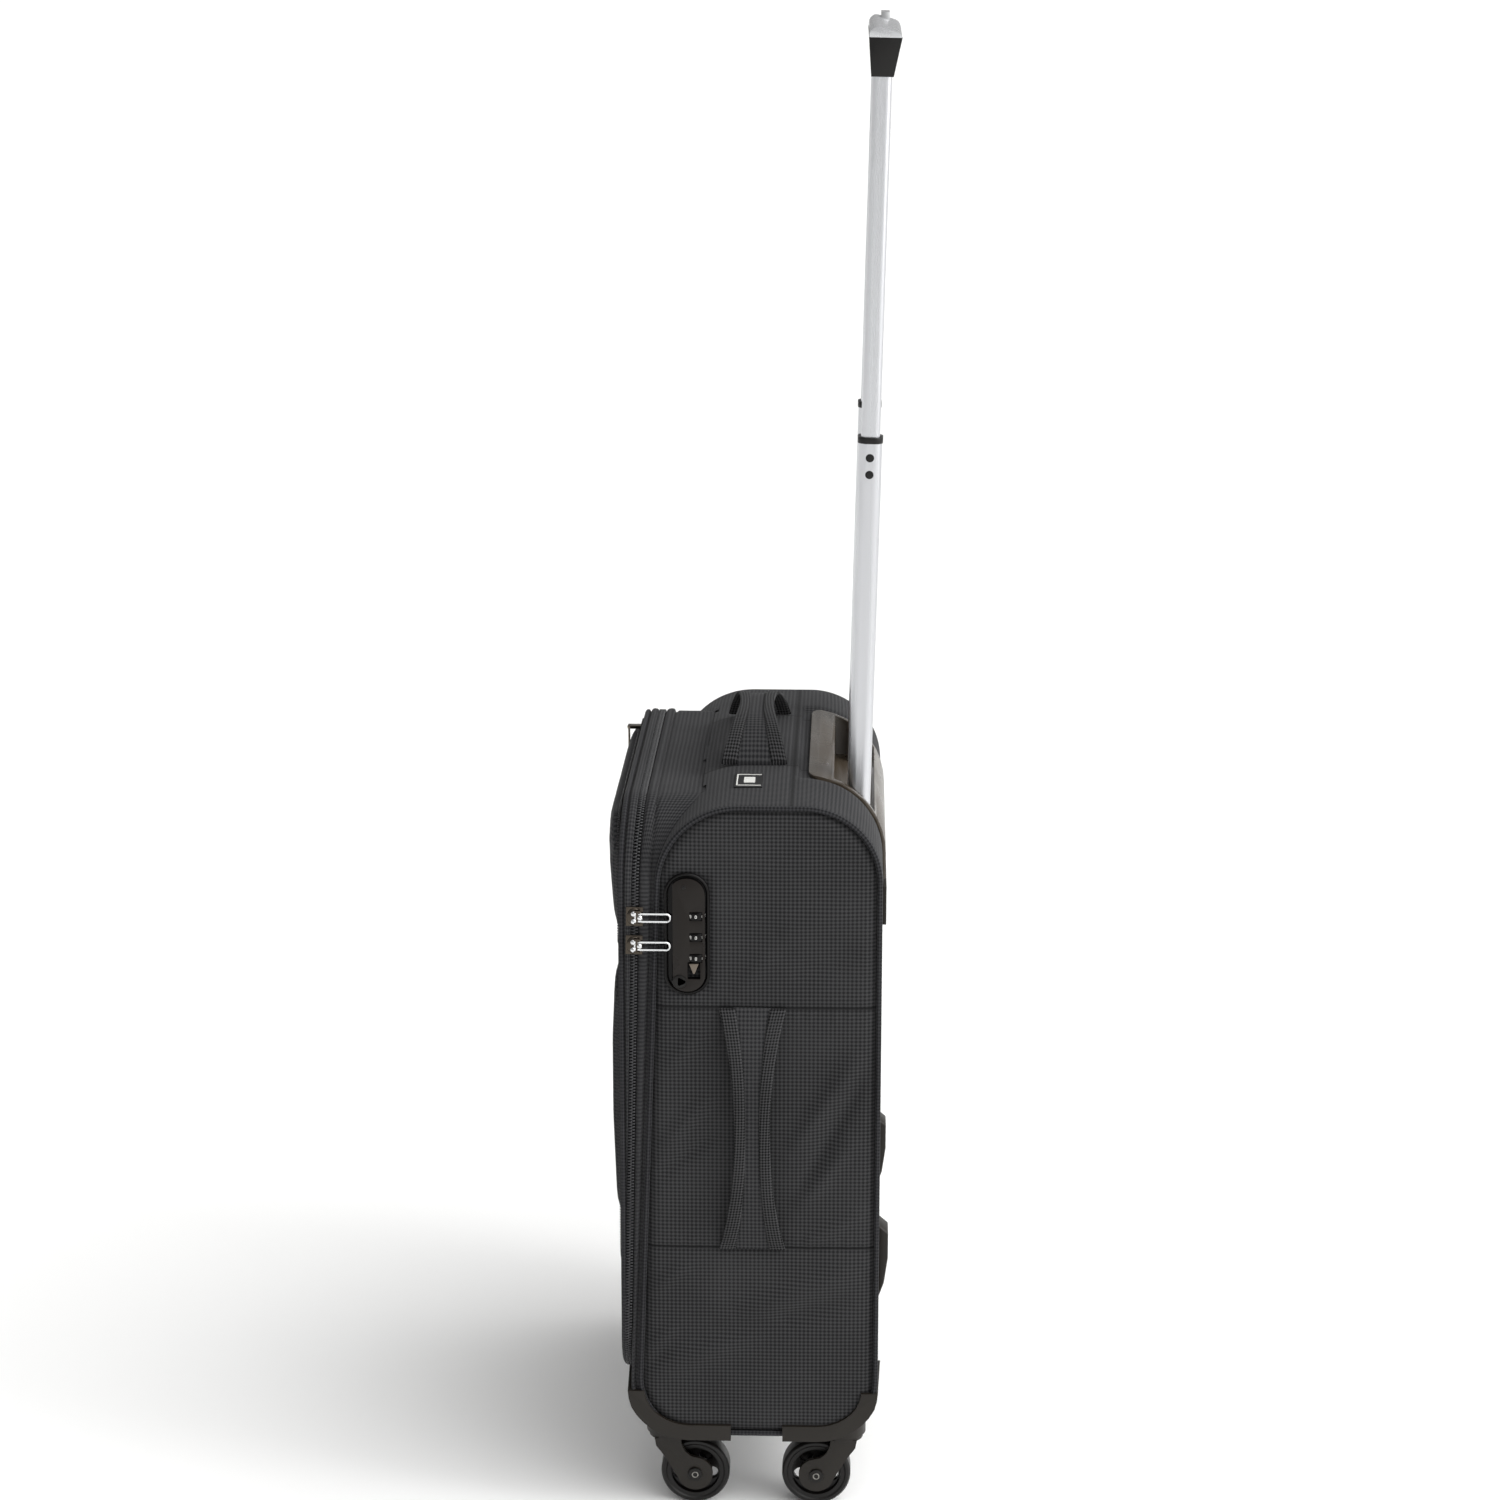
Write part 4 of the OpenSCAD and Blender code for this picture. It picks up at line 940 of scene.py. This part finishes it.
# Extruded, etched and clear anodised: pale grey, silky, with faint lines along it.
anodised, shader = finish("satin_anodised_aluminium", "#cbcccf", 0.3, Metallic=1.0)
place = node(anodised, "TexCoord")
long_grain = node(anodised, "Mapping", {"Vector": place.outputs["Object"], "Scale": (900, 900, 2)})
lines = node(anodised, "TexNoise", {"Vector": long_grain.outputs["Vector"], "Scale": 1, "Detail": 3})
silk = node(anodised, "MapRange", {"Value": lines.outputs["Fac"], "From Min": 0.3, "From Max": 0.7,
                                   "To Min": 0.24, "To Max": 0.4})
wire(anodised, silk.outputs["Result"], shader.inputs["Roughness"])
draw = node(anodised, "Bump", {"Height": lines.outputs["Fac"], "Strength": 0.12, "Distance": 0.00003})
wire(anodised, draw.outputs["Normal"], shader.inputs["Normal"])
coat(anodised, "outer_tubes", "middle_tubes", "inner_tubes")

black_nylon, shader = finish("moulded_nylon_black", "#100f0e", 0.38, Specular_IOR_Level=0.3)
grain(black_nylon, shader, 0.9, 0.04, 0.3)
collars = eased("tube_collars", "tube_collars_moulded", 0.4)
made_of(collars, black_nylon, "middle_stage")
sleeves = eased("grip_sleeves", "grip_sleeves_moulded", 0.8)
made_of(sleeves, black_nylon, "upper_stage")

# Silver paint over moulded plastic: pale, with a soft metallic gloss.
silver_paint, shader = finish("silver_painted_abs", "#c9cacc", 0.26, Metallic=0.75)
grain(silver_paint, shader, 0.5, 0.01, 0.15)
grip = eased("grip", "arched_grip", 0.5)
made_of(grip, silver_paint, "upper_stage", 40)
# Chrome plated zinc: near mirror, very slightly orange peeled.
chrome, shader = finish("chrome_plated_zinc", "#d9dadb", 0.09, Metallic=1.0)
grain(chrome, shader, 2.2, 0.01, 0.15)
button = eased("grip_button", "release_button", 0.5)
made_of(button, chrome, "grip_button")

# ---- Carry handles ----------------------------------------------------------------
# Soft handles of checked ripstop over foam, edged with two strips of herringbone
# webbing that draw in towards the waist, and sewn down under the panel seams.

webbing = check_cloth("herringbone_webbing_charcoal", "#3e3e3f", "#070708", 4.4, slant=True, depth_mm=0.6)


def strap_half(u):
    return 12.8 + 11.2 * abs(u) ** 2.2


def web_half(u):
    """Half the webbing's width: it folds narrower towards the waist."""
    return 3.9 + 1.9 * u * u


def handle(name, node_name, length, off, at, body="case"):
    """A padded centre and two webbing edges, bent over a flat topped arch."""
    def height(u):
        return off * (1 - u ** 4)

    def centre(i, j):
        u = 2 * i / 60 - 1
        w = strap_half(u) - 2 * web_half(u) + 1.5
        t = 2 * math.pi * j / 24
        across = w * math.copysign(abs(math.cos(t)) ** 0.35, math.cos(t))
        up = height(u) + 1.6 + 1.5 * math.copysign(abs(math.sin(t)) ** 0.8, math.sin(t))
        return at(u * length / 2, across, up), u * length / 2000, across / 1000
    pad = grid_piece(name + "_pad", 61, 25, centre)

    pieces = [pad]
    for side in (-1, 1):
        def edge(i, j, side=side):
            u = 2 * i / 60 - 1
            t = 2 * math.pi * j / 20
            mid = strap_half(u) - web_half(u)
            across = web_half(u) * math.copysign(abs(math.cos(t)) ** 0.45, math.cos(t))
            up = height(u) + 3.1 + 1.5 * math.copysign(abs(math.sin(t)) ** 0.7, math.sin(t))
            return at(u * length / 2, side * mid + across, up), u * length / 2000, across / 1000
        pieces.append(grid_piece(name + "_web" + ("_a" if side < 0 else "_b"), 61, 21, edge))
    for piece in pieces:
        closed_up(piece)
        made_of(piece, ripstop if piece is pad else webbing, body, 60)
    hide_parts(node_name)


handle("side_handle", "side_handle", 184, 9,
       lambda along, side, up: (half_w + 0.3 + up, 4 + side, 304 + along))
handle("top_handle", "top_handle", 150, 30,
       lambda along, side, up: (along, 2 + side, top_z - 1.2 + up + 3.2 * abs(along / 75) ** 6))

# A plain woven label with a light border, sewn down beside the top handle's near end.
label_satin, shader = finish("woven_label_satin_black", "#0d0d0e", 0.5)
grain(label_satin, shader, 0.5, 0.05, 0.5)
label_thread, shader = finish("label_border_thread", "#d0d0cc", 0.6)
grain(label_thread, shader, 0.4, 0.08, 0.6)


def label_height(x):
    return top_z + 4.0 * (1 - (x / half_w) ** 2) + 0.5


def label_sheet(name, x0, x1, y0, y1, lift):
    piece = grid_piece(name, 9, 7, lambda i, j: (
        (x0 + (x1 - x0) * i / 8, y0 + (y1 - y0) * j / 6, label_height(x0 + (x1 - x0) * i / 8) + lift),
        i / 200, j / 200))
    face_out(piece, (100, 0, 300))
    shaped(piece, "SOLIDIFY", thickness=0.0007, offset=-1)
    return piece


label = label_sheet("plain_label", 98, 131, -10.5, 9.5, 0.3)
made_of(label, label_satin, "case", 60)
borders = [label_sheet("label_border", *spots, 0.6) for spots in (
    (101, 102, -9.3, 8.3), (127, 128, -9.3, 8.3), (101, 128, -9.3, -8.3),
    (108, 121, -4, 4))]
select_only(borders[0])
for border in borders[1:]:
    border.select_set(True)
bpy.ops.object.join()
made_of(borders[0], label_thread, "case", 60)

# ---- Lock -------------------------------------------------------------------------
# A moulded lock body let into the side panel, with a raised face, three number dials,
# a release button, a key plug, and a slot edge for the zip pullers.

lock_abs, shader = finish("moulded_abs_lock", "#171310", 0.3, Specular_IOR_Level=0.22)
grain(lock_abs, shader, 0.5, 0.05, 0.5)
dark_abs, shader = finish("moulded_abs_bezel", "#070606", 0.2, Specular_IOR_Level=0.16)
grain(dark_abs, shader, 0.8, 0.03, 0.3)
satin_nickel, shader = finish("satin_nickel_plate", "#6f675e", 0.2, Metallic=1.0)
grain(satin_nickel, shader, 1.2, 0.02, 0.2)
white_ink, shader = finish("white_pad_print", "#dcdcd8", 0.5)
grain(white_ink, shader, 0.6, 0.01, 0.2)

lock = eased("lock_case", "lock_body", 0.7, 2)
made_of(lock, lock_abs, "case")
lock.data.materials.append(dark_abs)
for face in lock.data.polygons:
    if face.center.x < 0.1765 or face.normal.x < 0.7:
        face.material_index = 1
lock_y, lock_z, bezel_x = -42.5, 451, 174.6
lock_loop = [(lock_y + y, lock_z + z) for y, z in round_box(-14.9, -43.9, 14.9, 43.9, 14.4, 14.4)]
bezel = sweep("lock_bezel", walk(lock_loop, 2, closed=True), ring(1.45), lambda y, z, x: (bezel_x + x, y, z),
              inside=(173.9, 0, 300), wall=0, closed=True)
closed_up(bezel)
made_of(bezel, dark_abs, "case")
for name in ("dial_upper", "dial_middle", "dial_lower"):
    wheel = eased(name, name + "_turned", 0.5)
    made_of(wheel, dark_abs, name)

# Each dial carries the numbers 0 to 9, pad printed, built up from small strokes.
strokes = {"0": "abcdef", "1": "bc", "2": "abged", "3": "abgcd", "4": "fgbc", "5": "afgcd",
           "6": "afgedc", "7": "abc", "8": "abcdefg", "9": "abcdfg"}
stroke_at = {"a": (0, 1, 0), "b": (0.5, 0.5, 1), "c": (0.5, -0.5, 1), "d": (0, -1, 0),
             "e": (-0.5, -0.5, 1), "f": (-0.5, 0.5, 1), "g": (0, 0, 0)}
stroke = pill(1.0, 0.32, 0.16, 0.05)
dial_x, dial_y, dial_r = 172.6, -36.0, 6.6
for name, height in (("dial_upper", 465.0), ("dial_middle", 449.5), ("dial_lower", 434.0)):
    marks = []
    for digit in range(10):
        turn = math.radians(36 * digit)
        out = Vector((math.cos(turn), math.sin(turn), 0))
        right = Vector((-math.sin(turn), math.cos(turn), 0))
        up = Vector((0, 0, 1))
        face = Vector((dial_x, dial_y, height)) + out * (dial_r + 0.02)
        for part in strokes[str(digit)]:
            a, b, tall = stroke_at[part]
            here = (face + right * a * 1.1 + up * b * 0.95) / 1000
            along, side = (up, -right) if tall else (right, up)
            marks.append(Matrix(((along.x, side.x, out.x, here.x), (along.y, side.y, out.y, here.y),
                                 (along.z, side.z, out.z, here.z), (0, 0, 0, 1))))
    print_on = repeated(name + "_numbers", stroke, marks)
    made_of(print_on, white_ink, name)
bpy.ops.object.select_all(action="DESELECT")
bpy.ops.mesh.primitive_cylinder_add(vertices=24, radius=0.0014, depth=0.0007,
                                    location=(0.17815, -0.0445, 0.4865), rotation=(0, math.pi / 2, 0))
screw = bpy.context.object
screw.name = "lock_face_screw"
bpy.ops.object.transform_apply(location=True, rotation=True, scale=True)
shaped(screw, "BEVEL", width=0.0002, segments=2)
made_of(screw, oxide_steel, "case")
release = eased("lock_release", "release_pointer", 0.5)
made_of(release, satin_nickel, "lock_release")
plug = eased("key_plug", "key_plug_turned", 0.5)
made_of(plug, oxide_steel, "key_plug")

# ---- Sliders and pullers ----------------------------------------------------------
# Cast zinc sliders with hairpin wire pullers, nickel and chrome plated.

# Black nickel over the cast body: dark, with sharp highlights on its curves.
dark_nickel, shader = finish("black_nickel_plate", "#4a443d", 0.18, Metallic=1.0)
grain(dark_nickel, shader, 1.2, 0.03, 0.2)
# Half sizes in mm of a slider's pin heads and of its domed back, and its puller's wire.
knob, dome, wire_r = (1.5, 2.1, 2.1), (2.0, 5.6, 6.6), 0.8
for part in ("upper", "lower"):
    body = eased("slider_" + part, "zip_slider_" + part, 2.4, 4)
    made_of(body, dark_nickel, "slider_" + part)
    low, high = (Vector(corner) * 1000 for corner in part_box("puller_" + part))
    middle = (low + high) / 2
    # The wire's centre line keeps inside the puller's own length and height.
    bow = (high.z - low.z) / 2 - 0.85
    eye_y, tip_y = low.y + 0.9 + bow, high.y - 0.9 - bow
    wire_loop = arc(tip_y, middle.z, bow, -90, 90, 10) + arc(eye_y, middle.z, bow, 90, 270, 10)
    pull = sweep("wire_puller_" + part, walk(wire_loop, wire_r, closed=True), ring(wire_r),
                 lambda y, z, x: (middle.x + x, y, z), inside=(0, 0, 300), wall=0, closed=True)
    closed_up(pull)
    made_of(pull, chrome, "puller_" + part)
    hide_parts("puller_" + part)
    for k, (x, dy, dz, size) in enumerate(((176.8, -3.9, 2.8, knob), (176.8, -3.9, -2.8, knob),
                                           (176.8, 0.3, 0, knob), (174.2, -3.5, 0, dome))):
        bpy.ops.object.select_all(action="DESELECT")
        bpy.ops.mesh.primitive_uv_sphere_add(segments=24, ring_count=12, radius=0.001, scale=size, location=(
            x / 1000, (eye_y + dy) / 1000, (middle.z + dz) / 1000))
        boss = bpy.context.object
        boss.name = "slider_boss_%s_%d" % (part, k + 1)
        bpy.ops.object.transform_apply(location=True, rotation=True, scale=True)
        bpy.ops.object.shade_smooth()
        made_of(boss, dark_nickel if size is dome else chrome, "slider_" + part)
    body = eased("pocket_slider_" + part, "small_slider_" + part, 0.3)
    made_of(body, satin_nickel, "pocket_slider_" + part)
    pull = eased("pocket_puller_" + part, "small_puller_" + part, 0.3)
    made_of(pull, satin_nickel, "pocket_puller_" + part)

# ---- Inside and back --------------------------------------------------------------
# Taffeta lining, fibre boards and painted spring steel hoops inside; skids and a tag
# holder on the back, and feet on the far side, all moulded.

taffeta, shader = finish("taffeta_lining_grey", "#77777c", 0.6, Sheen_Weight=0.2)
grain(taffeta, shader, 1.0, 0.08, 0.4)
fibre_board, shader = finish("fibre_board_black", "#1b1b1c", 0.7)
grain(fibre_board, shader, 0.9, 0.1, 0.5)
spring_steel, shader = finish("painted_spring_steel", "#4a4d52", 0.4, Metallic=0.4)
grain(spring_steel, shader, 1.5, 0.03, 0.3)
coat(taffeta, "lining", "lid_lining")
coat(fibre_board, "back_board", "base_tray")
coat(spring_steel, "frame_hoops")
coat(black_nylon, "trolley_foot")
coat(zinc_plate, "screws")
for name, width in (("side_feet", 1.2), ("back_skids", 1.2), ("tag_holder", 0.6)):
    piece = eased(name, name + "_moulded", width, 3)
    made_of(piece, moulded_abs, "case")
